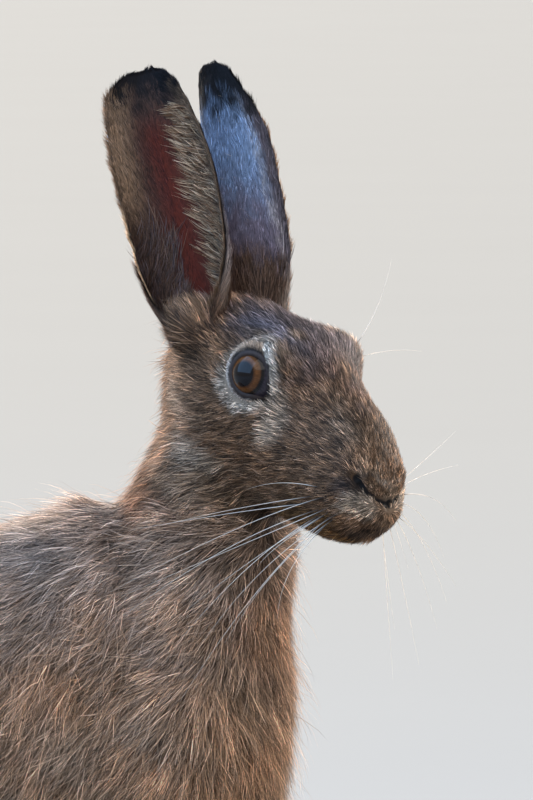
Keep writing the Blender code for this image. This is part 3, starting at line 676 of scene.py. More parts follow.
EAR_LENGTH = {1: 100.5 * MM, -1: 103 * MM}
EAR_SEAT = np.array((12.5, 17, 18.5)) * MM
EAR_TUBE_RADIUS = 11.5 * MM
EAR_BACKWARD_LEAN_DEG = {1: 30.5, -1: 37}
EAR_OUTWARD_LEAN_DEG = {1: 3.5, -1: 1.5}
EAR_MOUTH_FORWARD_DEG = {1: 0, -1: 28}
EAR_WALL = 2.2 * MM
# Share of the length, half width behind and before the spine line, and how tightly each side curls
EAR_LEAF = (
    (-0.10, 27, 27, 11.5, 11.5),
    (0.00, 27, 27, 11.5, 11.5),
    (0.12, 26, 28, 14.5, 15.5),
    (0.25, 25, 29, 18, 20),
    (0.40, 24.5, 28, 21.5, 22),
    (0.55, 24.5, 26, 25, 23),
    (0.70, 24, 23, 28, 21),
    (0.82, 22.5, 17, 28, 18),
    (0.91, 20.5, 11, 28, 18),
    (0.97, 15, 6, 28, 18),
    (1.00, 8, 0.5, 28, 18),
)
# The half before the spine line is a little narrower on the left ear
EAR_FRONT_WIDTH = {1: 0.88, -1: 1.0}


def catmull_rom(rows, count):
    """Rows of numbers resampled along a smooth curve that passes through each of them."""
    rows = np.array(rows, float)
    padded = np.vstack([2 * rows[0] - rows[1], rows, 2 * rows[-1] - rows[-2]])
    at = np.linspace(0, len(rows) - 1, count)
    i = np.minimum(at.astype(int), len(rows) - 2)
    t = (at - i)[:, None]
    a, b, c, d = (padded[i + k] for k in range(4))
    return 0.5 * (2 * b + (c - a) * t + (2 * a - 5 * b + 4 * c - d) * t**2 + (3 * b - a - 3 * c + d) * t**3)


EAR_ROWS = catmull_rom(EAR_LEAF, 120)


def ear_frame(side):
    """Length, mouth and front directions of one ear, in the head's frame."""
    lean = math.radians(EAR_BACKWARD_LEAN_DEG[side])
    out = math.radians(EAR_OUTWARD_LEAN_DEG[side])
    turned = math.radians(EAR_MOUTH_FORWARD_DEG[side])
    along = unit(np.array((-math.sin(lean), math.sin(out), math.cos(lean))))
    mouth = np.array((math.sin(turned), math.cos(turned), 0.1))
    mouth = unit(mouth - along * (mouth @ along))
    front = np.cross(mouth, along)
    front = front if front[0] > 0 else -front
    return mirrored(along, side), mirrored(mouth, side), mirrored(front, side)


def ear_points(side, share, across, layer):
    """Points of an ear leaf: share runs up its length, across from its back edge, -1, to its front, 1,
    and layer from its inner face, 0, to its outer one, 1. Each row is an arc about a centre in front
    of the spine line, with one radius behind that line and another before it.
    """
    along, mouth, front = ear_frame(side)
    root = mirrored(EAR_SEAT, side) - mouth * EAR_TUBE_RADIUS
    behind, before, loose, tight = (
        np.interp(share, EAR_ROWS[:, 0], EAR_ROWS[:, k]) * MM for k in range(1, 5)
    )
    reach = across * np.where(across < 0, behind, before * EAR_FRONT_WIDTH[side])
    curl = np.where(across < 0, loose, tight)
    wall = EAR_WALL * (1 - 0.45 * np.abs(across) ** 3) * (1.15 - 0.4 * share)
    radius = curl + wall * layer
    spine = root + np.outer(share * EAR_LENGTH[side], along)
    inwards = np.outer(curl - radius * np.cos(reach / curl), mouth)
    sideways = np.outer(radius * np.sin(reach / curl), front)
    return from_head(spine + inwards + sideways)


EAR_SHELL_ROWS = 60
EAR_SHELL_COLUMNS = 34
EAR_SKIN_LAYERS = (0.3, 0.72)
EAR_START = -0.08
EAR_END = 0.995
# Upright strips of the map beside the body's part of it: where they start, how far apart they stand,
# the middle and half width of each, and their foot and height
STRIPS_START = 0.84
STRIP_PITCH = 0.04
STRIP_MIDDLE = 0.018
STRIP_HALF = 0.017
STRIP_FOOT = 0.02
STRIP_HEIGHT = 0.42


def ear_map(side, inner, share, across):
    """The place of points of an ear's inner or outer face on the map, in that face's own strip."""
    strip = STRIPS_START + STRIP_PITCH * (2 * (side < 0) + np.asarray(inner, float))
    height = STRIP_HEIGHT * (share - EAR_START) / (1 - EAR_START)
    return np.stack([strip + STRIP_MIDDLE + STRIP_HALF * across, STRIP_FOOT + height], axis=1)


def ear_shell(side):
    """A closed thin leaf: rings that run up its inner face and back down its outer face. For each
    point it also gives the share of the length, the place across and whether it is on the inner face.
    """
    half = EAR_SHELL_COLUMNS
    ring = np.concatenate([np.linspace(-1, 1, half), np.linspace(1, -1, half)])
    outwards = np.where(np.arange(2 * half) < half, -1, 1)
    low, high = EAR_SKIN_LAYERS
    layers = (low + high) / 2 + outwards * (high - low) / 2 * (1 - np.abs(ring) ** 8) ** 0.5
    share = np.repeat(np.linspace(EAR_START, EAR_END, EAR_SHELL_ROWS), 2 * half)
    across, layer, inner = (np.tile(row, EAR_SHELL_ROWS) for row in (ring, layers, outwards < 0))
    first = np.arange(half - 2)
    root = np.stack([first, first + 1, 2 * half - 2 - first, 2 * half - 1 - first], axis=1)
    tip = root[:, ::-1] + (EAR_SHELL_ROWS - 1) * 2 * half
    faces = np.vstack([grid_faces(EAR_SHELL_ROWS, 2 * half), root, tip])
    points = ear_points(side, share, across, layer)
    return points, faces[:, ::-1] if side < 0 else faces, share, across, inner


BODY_MAP_WIDTH = 0.82


def unwrapped(thing):
    """The place of each corner of the body's skin on its own unwrap, in the map's left part."""
    bpy.context.view_layer.objects.active = thing
    thing.select_set(True)
    bpy.ops.object.mode_set(mode="EDIT")
    bpy.ops.mesh.select_all(action="SELECT")
    bpy.ops.uv.smart_project(angle_limit=math.radians(70), island_margin=0.001)
    bpy.ops.object.mode_set(mode="OBJECT")
    places = np.empty(len(thing.data.loops) * 2, np.float32)
    thing.data.uv_layers.active.uv.foreach_get("vector", places)
    return places.reshape(-1, 2) * (BODY_MAP_WIDTH, 1.0)


def make_skin():
    """The body's skin: its points and their normals, its triangles and its places on the map."""
    body = fused_flesh()
    refine(body)
    sink_skin(body)
    carve_face(body)
    open_eyes(body)
    bm = bmesh.new()
    bm.from_mesh(body.data)
    bmesh.ops.triangulate(bm, faces=bm.faces)
    close_edit(bm, body.data)
    places = unwrapped(body)
    faces = np.empty(len(body.data.loops), np.int32)
    body.data.loops.foreach_get("vertex_index", faces)
    points, normals = vertices_of(body.data), vertices_of(body.data, "normal")
    bpy.data.objects.remove(body, do_unlink=True)
    return points, normals, faces.reshape(-1, 3), places


print("skin")
skin_points, skin_normals, skin_faces, skin_places = make_skin()


# Near black in the mouth, the lip's cleft and the nostrils: dark bare skin with painted shade of these
# furrows in it
BARE_SKIN_AND_PAINTED_SHADE = linear(14, 10, 11)
# The skin under the coat is painted darker than the coat, as shade in the gaps between tufts
SKIN_PAINTED_SHADE = 0.36


def finished_skin():
    """The body's skin and the two ear leaves as one object, painted darker than the coat that lies over it
    as shade in the coat's gaps.
    """
    points, faces, places = [skin_points], [skin_faces], [skin_places]
    colours = [blend(coat_colour(skin_points) * SKIN_PAINTED_SHADE, BARE_SKIN_AND_PAINTED_SHADE, bareness(skin_points))]
    start = len(skin_points)
    for side in SIDES:
        ear_at, quads, share, across, inner = ear_shell(side)
        thirds = np.vstack([quads[:, [0, 1, 2]], quads[:, [0, 2, 3]]])
        points.append(ear_at)
        faces.append(thirds + start)
        places.append(ear_map(side, inner, share, across)[thirds].reshape(-1, 2))
        colours.append(ear_skin_colour(side, share, across, inner))
        start += len(ear_at)
    made = mesh_object("skin", np.vstack(points), np.vstack(faces))
    write_map(made.data, np.vstack(places))
    write_colour(made.data, np.vstack(colours))
    return made


# The trough's red: the skin's own red with a painted glow of light through the ear in it; then that painted
# glow alone
EAR_RED_AND_PAINTED_GLOW = linear(88, 30, 16)
EAR_PAINTED_GLOW = linear(92, 36, 22)
EAR_BROWN = linear(104, 78, 62)
EAR_INNER = linear(72, 50, 40)
EAR_BUFF = linear(150, 118, 90)
EAR_FRINGE = linear(138, 90, 56)
# The ears' backs: grey with painted cool skylight in it, bluer than under a neutral lamp
EAR_GREY_AND_PAINTED_SKYLIGHT = linear(138, 158, 188)
EAR_PURPLE = linear(124, 112, 126)
EAR_STRIP = linear(98, 88, 94)
EAR_RIDGE = linear(196, 184, 178)
EAR_TIP = linear(16, 11, 14)
EAR_HAIR = linear(246, 210, 168)
# Where the black tip starts on each ear, and how far it fades downwards
TIP_START = {1: 0.82, -1: 0.87}
TIP_FADE = {1: 0.12, -1: 0.05}
TIP_EDGE = 0.06


def ear_colour(side, share, across, inner, points):
    """The short coat of an ear: red in the trough, in part a painted glow of light through the ear, brown
    on the flaps, buff at the upper rim, grey behind with painted cool skylight in it, a pale line beside a
    darker strip, and black at the tip.
    """
    rough = np.clip(waves(points, 9 * MM, SEED + 7), -1.2, 1.2) * 0.04
    off_ridge = across + rough - 0.75 - 0.35 * (0.55 - share)
    outer_face = blend(EAR_GREY_AND_PAINTED_SKYLIGHT, EAR_PURPLE, 1 - ease(0.3, 0.62, share + rough))
    outer_face = blend(outer_face, EAR_STRIP, ease(0.0, 0.12, off_ridge))
    outer_face = blend(outer_face, EAR_RIDGE, 0.5 * np.exp(-((off_ridge / 0.04) ** 2)))
    outer_face = blend(outer_face, EAR_BROWN, 1 - ease(0.16, 0.34, share + rough + 0.1 * across))
    rim = 0.85 * ease(0.4, 0.85, np.abs(across)) * ease(0.3, 0.6, share + 0.6 * (across > 0))
    trough = np.exp(-(((across + 0.08 + 0.3 * (share - 0.4)) / 0.24) ** 2))
    inner_face = blend(EAR_INNER, EAR_BUFF, rim)
    inner_face = blend(inner_face, EAR_RED_AND_PAINTED_GLOW, trough * (1 - ease(0.7, 0.86, share)))
    colour = np.where(inner[:, None], inner_face, outer_face)
    start = TIP_START[side]
    return blend(colour, EAR_TIP, ease(start - TIP_FADE[side], start + TIP_EDGE, share + rough))


def ear_skin_colour(side, share, across, inner):
    """The ear's bare skin: red in the trough and under the inner flaps, with a painted glow of light
    through the ear there, and brown elsewhere, painted darker on the outer face as shade under the coat.
    """
    points = np.stack([across * 0.03, share * 0.1, 0 * share], axis=1)
    colour = ear_colour(side, share, across, inner, points)
    # Painted glow of light through the ear, strongest in the trough
    painted_glow = np.exp(-(((across - 0.05) / 0.5) ** 2)) * ease(0.1, 0.3, share) * (1 - ease(0.7, 0.9, share))
    painted_glow = painted_glow[:, None]
    # The outer face's skin is painted darker, as shade under the coat
    return np.where(inner[:, None], colour * (1 - 0.6 * painted_glow) + EAR_PAINTED_GLOW * 0.5 * painted_glow, colour * 0.6)


# Scattering roots over the skin


def scatter(chosen, density, rng):
    """Roots spread evenly over the chosen triangles, with their normals and their map places."""
    faces = skin_faces[chosen]
    corners = skin_points[faces]
    cross = np.cross(corners[:, 1] - corners[:, 0], corners[:, 2] - corners[:, 0])
    area = np.linalg.norm(cross, axis=1) / 2
    running = np.cumsum(area * density / MM**2)
    count = int(running[-1])
    at = (np.arange(count) + rng.uniform(size=count)) / count * running[-1]
    pick = np.minimum(np.searchsorted(running, at), len(faces) - 1)
    first, second = rng.uniform(size=count), rng.uniform(size=count)
    over = first + second > 1
    first, second = np.where(over, 1 - first, first), np.where(over, 1 - second, second)
    shares = np.stack([1 - first - second, first, second], axis=1)[..., None]
    roots = (corners[pick] * shares).sum(1)
    normals = unit((skin_normals[faces[pick]] * shares).sum(1))
    places = (skin_places.reshape(-1, 3, 2)[chosen][pick] * shares).sum(1)
    return roots, normals, places


# Tufts

COAT_LIMIT = 196000
PATCH = 0.003
FLOOR_GAP = 0.2 * MM


def blades(roots, normals, ways, places, tuft):
    """Thin tapered blades as arrays of points, normals, colours and map places, one row a tuft.

    The middle line at share s is root + length x (way x s + normal x lift x (s - bend x s x s)), and
    from there it leans to its lock's tip as s to the 1.5. The half width falls as (1 - s) to the 0.7.
    """
    length, width, lift, bend = tuft["length"], tuft["width"], tuft["lift"], tuft["bend"]
    side = unit(np.cross(normals, ways))
    roll = tuft["roll"][:, None]
    flat = side * np.cos(roll) + normals * np.sin(roll)
    points, facing, colours, marks = [], [], [], []
    for s in np.linspace(0, 1, tuft["segments"] + 1):
        rise = lift * (s - bend * s * s)
        line = roots - normals * tuft["sink"] + length[:, None] * (ways * s + normals * rise[:, None])
        line = line + tuft["pull"] * s**1.5 + side * (tuft["wave"] * math.sin(2.4 * s) * s)[:, None]
        half = flat * (width * 0.5 * (1 - s) ** 0.7 * (0.75 + 0.9 * s * (s < 0.5)))[:, None]
        shade = tuft["shades"](s)
        for sign in (-1,) if s == 1 else (-1, 1):
            points.append(line + sign * half)
            facing.append(unit(normals + 0.5 * ways * s + sign * 0.35 * side))
            colours.append(shade)
            marks.append(places + PATCH * np.array((0.5 * sign * (1 - s), s - 0.5)))
    return [np.stack(group, axis=1) for group in (points, facing, colours, marks)]


def blade_faces(count, segments):
    """The triangles of count blades, each a strip that ends in a point."""
    strip = []
    for a in range(0, 2 * segments - 2, 2):
        strip += [(a, a + 3, a + 1), (a, a + 2, a + 3)]
    strip.append((2 * segments - 2, 2 * segments, 2 * segments - 1))
    each = 2 * segments + 1
    return (np.arange(count)[:, None, None] * each + np.array(strip)).reshape(-1, 3)


def coat_pieces(name, groups, segments, material):
    """Joined tufts as one or more objects, none over the limit of triangles for one piece."""
    points, facing, colours, marks = groups
    points[..., 2] = np.maximum(points[..., 2], FLOOR_GAP)
    pieces = math.ceil(len(points) / (COAT_LIMIT // (2 * segments - 1)))
    for k, rows in enumerate(np.array_split(np.arange(len(points)), pieces)):
        faces = blade_faces(len(rows), segments)
        own_name = f"{name}_{k + 1}" if pieces > 1 else name
        piece = mesh_object(own_name, points[rows].reshape(-1, 3), faces)
        write_colour(piece.data, colours[rows].reshape(-1, 3))
        write_map(piece.data, marks[rows].reshape(-1, 2)[faces.ravel()])
        piece.data.normals_split_custom_set_from_vertices(facing[rows].reshape(-1, 3))
        dress(piece, material, "coat")


# Of all hairs, those below the first share have a pale tip and those above the second a dark one
PALE_TIPS = 0.38
DARK_TIPS = 0.74


def banded(colour, spread, rng):
    """A hair's shades from root to tip: grey root, dark both as the hair's own grey base and as painted
    shade deep in the coat, brown band, and a pale, plain or dark tip. Hairs differ in brightness as
    exp(spread x a normal draw).
    """
    count = len(colour)
    kind = rng.uniform(size=count)[:, None]
    bright = np.exp(spread * np.clip(rng.normal(size=(count, 1)), -2, 2) - spread**2 / 2)
    grey = colour.mean(1, keepdims=True)
    pale, dark = kind < PALE_TIPS, kind > DARK_TIPS
    tip = np.where(pale, colour * 1.75 + grey * 0.6, np.where(dark, colour * 0.15, colour * 1.1))
    band = np.where(pale, colour * 1.1, np.where(dark, colour * 0.6, colour))
    # Dark roots: the hair's own grey base, made darker as painted shade deep in the coat
    root = grey * 0.22 + colour * 0.1

    def shades(s):
        low, high = ease(0.08, 0.5, s), ease(0.45, 0.9, s)
        return (root * (1 - low) + (band * (1 - high) + tip * high) * low) * bright

    return shades


def short_tufts(rng, colour, length, width, lift, wave, spread):
    """The sizes and shades of tufts that lean on no lock; width and lift are ranges."""
    count = len(length)
    return {
        "segments": 2,
        "length": length,
        "width": rng.uniform(*width, count) * MM,
        "lift": rng.uniform(*lift, count),
        "bend": rng.uniform(0.4, 0.7, count),
        "roll": rng.normal(size=count) * 0.4,
        "sink": 0.15 * MM,
        "pull": np.zeros((count, 3)),
        "wave": wave,
        "shades": banded(colour, spread, rng),
    }


def joined(grown):
    """The arrays of several sets of blades, each kind as one."""
    return [np.concatenate(kind) for kind in zip(*grown)]


def combed(roots, normals, ways, rng, loose, lock_size, lock_turn):
    """Hair directions laid on the skin, each turned by its lock and a little by chance."""
    flat = unit(ways - normals * (ways * normals).sum(1, keepdims=True))
    side = np.cross(normals, flat)
    centre, shares = locks(roots, lock_size, SEED + 21)
    turn = lock_turn * (shares[:, 0] * 2 - 1) + loose * rng.normal(size=len(roots))
    turn += 0.55 * lock_turn * waves(roots, lock_size * 4, SEED + 23)
    return unit(flat * np.cos(turn)[:, None] + side * np.sin(turn)[:, None]), centre, shares


def body_coat(name, region, segments, style, material, seed):
    """The coat of one region: its roots, lie, locks, sizes and colours, as joined tufts."""
    rng = np.random.default_rng(seed)
    chosen = np.flatnonzero(region(skin_points[skin_faces].mean(1)))
    density = coat_at(skin_points[skin_faces[chosen]].mean(1))[3] * style["density"]
    roots, normals, places = scatter(chosen, density, rng)
    keep = ~in_opening(roots, LID_EDGE) & (bareness(roots) < rng.uniform(0.2, 0.8, len(roots)))
    roots, normals, places = roots[keep], normals[keep], places[keep]
    count = len(roots)
    ways, depth, length, density = coat_at(roots)
    off_eye = ease(*THIN_COAT, eye_distance(to_head(roots)))
    length = length * (0.45 + 0.55 * off_eye) * rng.uniform(0.7, 1.15, count) * style["longer"]
    depth = depth * off_eye + 0.4 * MM
    ways, centre, shares = combed(roots, normals, ways, rng, style["loose"], style["lock"], style["turn"])
    off = centre - roots
    for way in (normals, ways):
        off -= way * (off * way).sum(1, keepdims=True)
    lift = style["rise"] * depth / length * rng.uniform(0.7, 1.2, count)
    tone = np.exp(style["lock_shade"] * (shares[:, 1:2] * 3.4 - 1.7)) * style["paint"]
    width = np.clip(COVER / (density * style["density"] * length / MM), *style["width"]) * MM
    tuft = {
        "segments": segments,
        "length": length,
        "width": width * rng.uniform(0.7, 1.3, count),
        "lift": lift,
        "bend": rng.uniform(0.35, 0.6, count),
        "roll": rng.normal(size=count) * 0.45,
        "sink": 0.5 * MM,
        "pull": off * style["gather"],
        "wave": length * style["wave"] * rng.normal(size=count),
        "shades": banded(coat_colour(roots) * tone, style["hair_shade"], rng),
    }
    print(name, count, "tufts")
    coat_pieces(name, blades(roots, normals, ways, places, tuft), segments, material)


def is_head(points):
    """In front of the plane that parts the head from the neck, above the throat and near the head."""
    local = to_head(points) / MM
    ahead = (local - (6, 0, -14)) @ np.array((0.80, 0, 0.60)) > 0
    return ahead & (local[:, 2] > -46.5) & (np.linalg.norm(local - (60, 0, -4), axis=1) < 80)


def is_front(points):
    """The neck, throat, breast, withers and shoulders, which the photo shows."""
    body = (points - BODY_ORIGIN) / MM
    return ~is_head(points) & (body[:, 0] > -62) & (body[:, 2] > 138)


def is_rest(points):
    """All that is neither head nor front."""
    return ~is_head(points) & ~is_front(points)


# How many times over the blades' widths cover the skin, before each style's limits on their width
COVER = 6.5

# Each style: share of the tables' density, range of widths in millimetres, size of a lock, how far
# tips gather to their lock, how far locks and single hairs turn, waviness, how much locks and hairs
# differ in brightness, how far they rise, brightness and length against the tables
STYLE_KEYS = (
    ("density", "width", "lock", "gather", "turn", "loose", "wave")
    + ("lock_shade", "hair_shade", "rise", "paint", "longer")
)
SHORT, LONG, PLAIN, GUARD = (
    dict(zip(STYLE_KEYS, row))
    for row in (
        (1.25, (0.3, 0.5), 2.4 * MM, 0.35, 0.22, 0.17, 0.02, 0.34, 0.85, 1.7, 1.0, 1.0),
        (0.95, (0.34, 0.5), 3.6 * MM, 0.62, 0.3, 0.2, 0.07, 0.32, 0.72, 1.9, 1.12, 1.0),
        (0.9, (0.5, 0.95), 4.6 * MM, 0.6, 0.3, 0.18, 0.05, 0.3, 0.6, 1.7, 1.1, 1.0),
        (0.05, (0.2, 0.26), 9 * MM, 0.1, 0.3, 0.4, 0.16, 0.1, 0.2, 3.0, 1.7, 1.25),
    )
)

# An ear's coats: tufts, range of share, range across, inner face, length and width in millimetres,
# lift, how far the tips point along and across the ear, and what is special about them
EAR_COATS = (
    (11000, (-0.02, 0.99), (-0.99, 0.99), False, 4.2, 0.4, 0.16, 1.0, 0.05, ""),
    (3200, (-0.06, 0.2), (-0.99, 0.99), False, 8.0, 0.45, 0.34, 1.0, 0.05, ""),
    (7500, (0.02, 0.99), (-0.99, -0.12), True, 4.0, 0.4, 0.2, 1.0, -0.25, ""),
    (1400, (0.1, 0.9), (-0.15, 0.3), True, 3.0, 0.3, 0.3, 1.0, 0.0, ""),
    (3600, (0.0, 0.97), (0.3, 0.99), True, 5.0, 0.4, 0.4, 0.9, -0.5, ""),
    (2600, (0.0, 0.84), (0.32, 0.86), True, 9.0, 0.36, 0.62, 0.6, -0.8, "golden fringe"),
    (2600, (-0.02, 0.4), (-0.99, -0.2), True, 9.5, 0.34, 0.6, 1.0, 0.25, "brown fringe, crowded down"),
    (1300, (0.0, 0.3), (-1.0, -0.8), False, 6.5, 0.3, 0.5, 1.0, -0.5, "crowded down"),
    (900, (0.84, 0.99), (-0.2, 0.99), True, 3.5, 0.4, 0.25, 1.0, -0.1, ""),
    (1500, (0.02, 0.99), (-1.0, -0.965), True, 4.6, 0.26, 0.3, 0.8, -0.6, "rim lit white foot"),
    (2600, (0.0, 0.99), (0.88, 1.0), True, 4.4, 0.3, 0.3, 0.9, 0.25, "longer foot"),
    (1200, (0.94, 0.995), (-1.0, 1.0), False, 4.5, 0.3, 0.2, 1.0, 0.0, ""),
    (1500, (-0.02, 0.42), (0.4, 1.0), False, 5.6, 0.34, 0.4, 1.0, 0.2, "right ear"),
)
# A short way up or across an ear, for its directions there
EAR_STEP = 0.004


def ear_coat(side, material, seed):
    """The coat of one ear: short flat hair on both faces, a fringe on the rim and long pale hair
    that leans in from the front edge over the trough.
    """
    rng = np.random.default_rng(seed)
    grown = []
    for count, shares, spans, inner, length, width, lift, up, over, special in EAR_COATS:
        if special == "right ear" and side > 0:
            continue
        share = rng.uniform(*shares, count)
        across = rng.uniform(*spans, count)
        if special.endswith("crowded down"):
            share = shares[0] + (share - shares[0]) * rng.uniform(size=count)
        fringe = "fringe" in special
        layer = np.full(count, EAR_SKIN_LAYERS[0] if inner else EAR_SKIN_LAYERS[1])
        root = ear_points(side, share, across, layer)
        rise = unit(ear_points(side, share + EAR_STEP, across, layer) - root)
        reach = ear_points(side, share, across + EAR_STEP, layer) - root
        reach = unit(reach - rise * (reach * rise).sum(1, keepdims=True))
        normal = unit(root - ear_points(side, share, across, 1 - layer + 0.02))
        chance = rng.normal(size=(2, count))
        swirl = 0.12 * chance[0] + (0.28 if fringe else 0.15) * waves(root, 7 * MM, SEED + 31)
        way = unit(rise * up + reach * (over + swirl)[:, None])
        size = length * MM * rng.uniform(0.65, 1.2, count) * (1 - 0.5 * ease(0.88, 1.0, share))
        colour = ear_colour(side, share, across, np.full(count, inner), root)
        if special == "longer foot":
            size *= 1 + 0.9 * (1 - ease(0.0, 0.4, share))
        # The lower hairs of the ear's back edge: pale hair, painted near white as rim light
        if special == "rim lit white foot":
            colour = blend(colour, EAR_HAIR, 0.8 * ease(0.05, 0.12, share) * (1 - ease(0.38, 0.5, share)))
        if fringe:
            size *= 0.6 + 0.5 * np.sin(np.pi * np.clip(share, 0.02, 0.98))
            size *= np.clip(1 + 0.3 * waves(root, 6 * MM, SEED + 33), 0.5, 1.5)
            golden = special.startswith("golden")
            ground, light = (EAR_FRINGE, EAR_HAIR) if golden else (EAR_BROWN, EAR_STRIP * 1.3)
            colour = blend(ground, light, rng.uniform(size=count) ** 2)
            start = TIP_START[side]
            colour = blend(colour, EAR_TIP, ease(start - 0.03, start + TIP_EDGE, share))
        widths, lifts = (0.7 * width, 1.3 * width), (0.5 * lift, 1.2 * lift)
        tuft = short_tufts(rng, colour, size, widths, lifts, size * 0.05 * chance[1], 0.4)
        grown.append(blades(root, normal, way, ear_map(side, inner, share, across), tuft))
    coat_pieces(f"coat_ear_{SIDES[side]}", joined(grown), 2, material)


# Materials


def add(tree, kind, inputs, **settings):
    """A shader node with its settings and inputs."""
    made = tree.nodes.new("ShaderNode" + kind)
    for name, value in settings.items():
        setattr(made, name, value)
    return feed(tree, made, inputs)


def feed(tree, node, inputs):
    """Gives each input a value or another node's output; returns the node's own outputs."""
    for name, value in inputs.items():
        if isinstance(value, bpy.types.NodeSocket):
            tree.links.new(value, node.inputs[name])
        else:
            node.inputs[name].default_value = value
    return node.outputs


def new_material(name, **values):
    """A material with values on its shader's sockets; returns it, its tree and the shader."""
    made = bpy.data.materials.new(name)
    made.use_nodes = True
    shader = made.node_tree.nodes["Principled BSDF"]
    feed(made.node_tree, shader, {key.replace("_", " "): value for key, value in values.items()})
    return made, made.node_tree, shader


def multiplied(tree, colour, factor):
    """A colour times a factor or times another colour."""
    return add(tree, "Mix", {0: 1.0, 6: colour, 7: factor}, data_type="RGBA", blend_type="MULTIPLY")[2]


def ramp(tree, value, stops):
    """The colours of the stops, each a place and a colour, as the value runs through them."""
    node = tree.nodes.new("ShaderNodeValToRGB")
    elements = node.color_ramp.elements
    while len(elements) < len(stops):
        elements.new(0.5)
    for element, (place, colour) in zip(elements, stops):
        element.position = place
        element.color = (*colour, 1)
    return feed(tree, node, {"Fac": value})["Color"]


def relieved(tree, shader, height, strength, distance):
    """Gives a shader a fine relief from a mask."""
    bump = add(tree, "Bump", {"Height": height, "Strength": strength, "Distance": distance})
    feed(tree, shader, {"Normal": bump["Normal"]})


def mottle_group():
    """A colour multiplied by 1 + amount x (noise - 0.5) on object coordinates, and the noise itself."""
    group = bpy.data.node_groups.new("mottle", "ShaderNodeTree")
    for name, way, kind in (
        ("Colour", "INPUT", "Color"),
        ("Scale", "INPUT", "Float"),
        ("Amount", "INPUT", "Float"),
        ("Colour", "OUTPUT", "Color"),
        ("Mask", "OUTPUT", "Float"),
    ):
        group.interface.new_socket(name, in_out=way, socket_type="NodeSocket" + kind)
    entry = group.nodes.new("NodeGroupInput").outputs
    where = add(group, "TexCoord", {})["Object"]
    noise = add(group, "TexNoise", {"Vector": where, "Scale": entry["Scale"], "Detail": 4})["Fac"]
    centred = add(group, "Math", {0: noise, 1: 0.5}, operation="SUBTRACT")[0]
    factor = add(group, "Math", {0: centred, 1: entry["Amount"], 2: 1.0}, operation="MULTIPLY_ADD")[0]
    tinted = multiplied(group, entry["Colour"], factor)
    feed(group, group.nodes.new("NodeGroupOutput"), {"Colour": tinted, "Mask": noise})
    return group


MOTTLE = mottle_group()


def mottled(tree, colour, scale, amount):
    """The shared mottle with its own values, as its colour and its mask."""
    node = tree.nodes.new("ShaderNodeGroup")
    node.node_tree = MOTTLE
    made = feed(tree, node, {"Colour": colour, "Scale": scale, "Amount": amount})
    return made["Colour"], made["Mask"]


def own_colour(tree, scale, amount):
    """The piece's own colour attribute under the shared mottle, and the mottle's mask."""
    own = add(tree, "Attribute", {}, attribute_name="coat")
    return mottled(tree, own["Color"], scale, amount)


def hair_material(name, roughness, scale, amount, through_share):
    """Hair: its own colour along each tuft, finely mottled, soft gloss and light through the tips."""
    made, tree, shader = new_material(name, Roughness=roughness, Metallic=0.0, Specular_IOR_Level=0.2)
    colour, _ = own_colour(tree, scale, amount)
    solid = feed(tree, shader, {"Base Color": colour})["BSDF"]
    through = add(tree, "BsdfTranslucent", {"Color": colour})["BSDF"]
    mix = add(tree, "MixShader", {"Fac": through_share, 1: solid, 2: through})
    feed(tree, tree.nodes["Material Output"], {"Surface": mix["Shader"]})
    return made


def skin_material():
    """The skin under the coat and bare skin: the coat's colours, painted darker as shade in the coat's
    gaps, with a fine felted relief.
    """
    made, tree, shader = new_material("skin", Roughness=0.75, Metallic=0.0, Specular_IOR_Level=0.2)
    colour, mask = own_colour(tree, 500, 0.8)
    feed(tree, shader, {"Base Color": colour})
    relieved(tree, shader, mask, 0.6, 0.0006)
    return made


def grained_material(name, stretch, detail, dark, pale, relief, **values):
    """A finish between two colours by noise on stretched object coordinates, with it as a relief."""
    made, tree, shader = new_material(name, Metallic=0.0, **values)
    where = add(tree, "TexCoord", {})["Object"]
    where = add(tree, "Mapping", {"Vector": where, "Scale": stretch})[0]
    noise = add(tree, "TexNoise", {"Vector": where, "Scale": 1.0, "Detail": detail})["Fac"]
    feed(tree, shader, {"Base Color": ramp(tree, noise, ((0.0, dark), (1.0, pale)))})
    relieved(tree, shader, noise, *relief)
    return made


print("materials")
COAT = hair_material("coat", roughness=0.58, scale=900, amount=0.5, through_share=0.34)
SKIN = skin_material()
dress(finished_skin(), SKIN, "coat", *FLESH, *EARS)


# Eyes

IRIS_ANGLE = 0.79
PUPIL_ANGLE = 0.44
CORNEA_RISE = 0.7 * MM
GAZE_BACK = 0.13
DOME_ANGLE = 0.62
POLE_GAP = 0.004
EYE_RINGS = 56
EYE_SIDES = 64


def eye_surface(side):
    """A ball with a low dome over the iris: radius + rise x exp(-(angle from the gaze / dome angle)^4).
    The third array holds that angle as it lies on a flat view of the eye.
    """
    _, axis, forward, upward = lid_axes(side)
    gaze = unit(axis - forward * GAZE_BACK)
    ahead = unit(forward - gaze * (forward @ gaze))
    high = unit(upward - gaze * (upward @ gaze) - ahead * (upward @ ahead))
    polar = np.repeat(np.linspace(POLE_GAP, math.pi - POLE_GAP, EYE_RINGS), EYE_SIDES)[:, None]
    turn = np.tile(np.linspace(0, 2 * math.pi, EYE_SIDES, endpoint=False), EYE_RINGS)[:, None]
    radius = EYE_RADIUS + CORNEA_RISE * np.exp(-((polar / DOME_ANGLE) ** 4))
    spoke = np.cos(turn) * ahead + np.sin(turn) * high
    points = mirrored(EYE_CENTRE, side) + radius * (np.cos(polar) * gaze + np.sin(polar) * spoke)
    seen = polar * np.hstack([np.cos(turn), np.sin(turn), np.ones_like(turn)])
    return from_head(points), grid_faces(EYE_RINGS, EYE_SIDES), seen


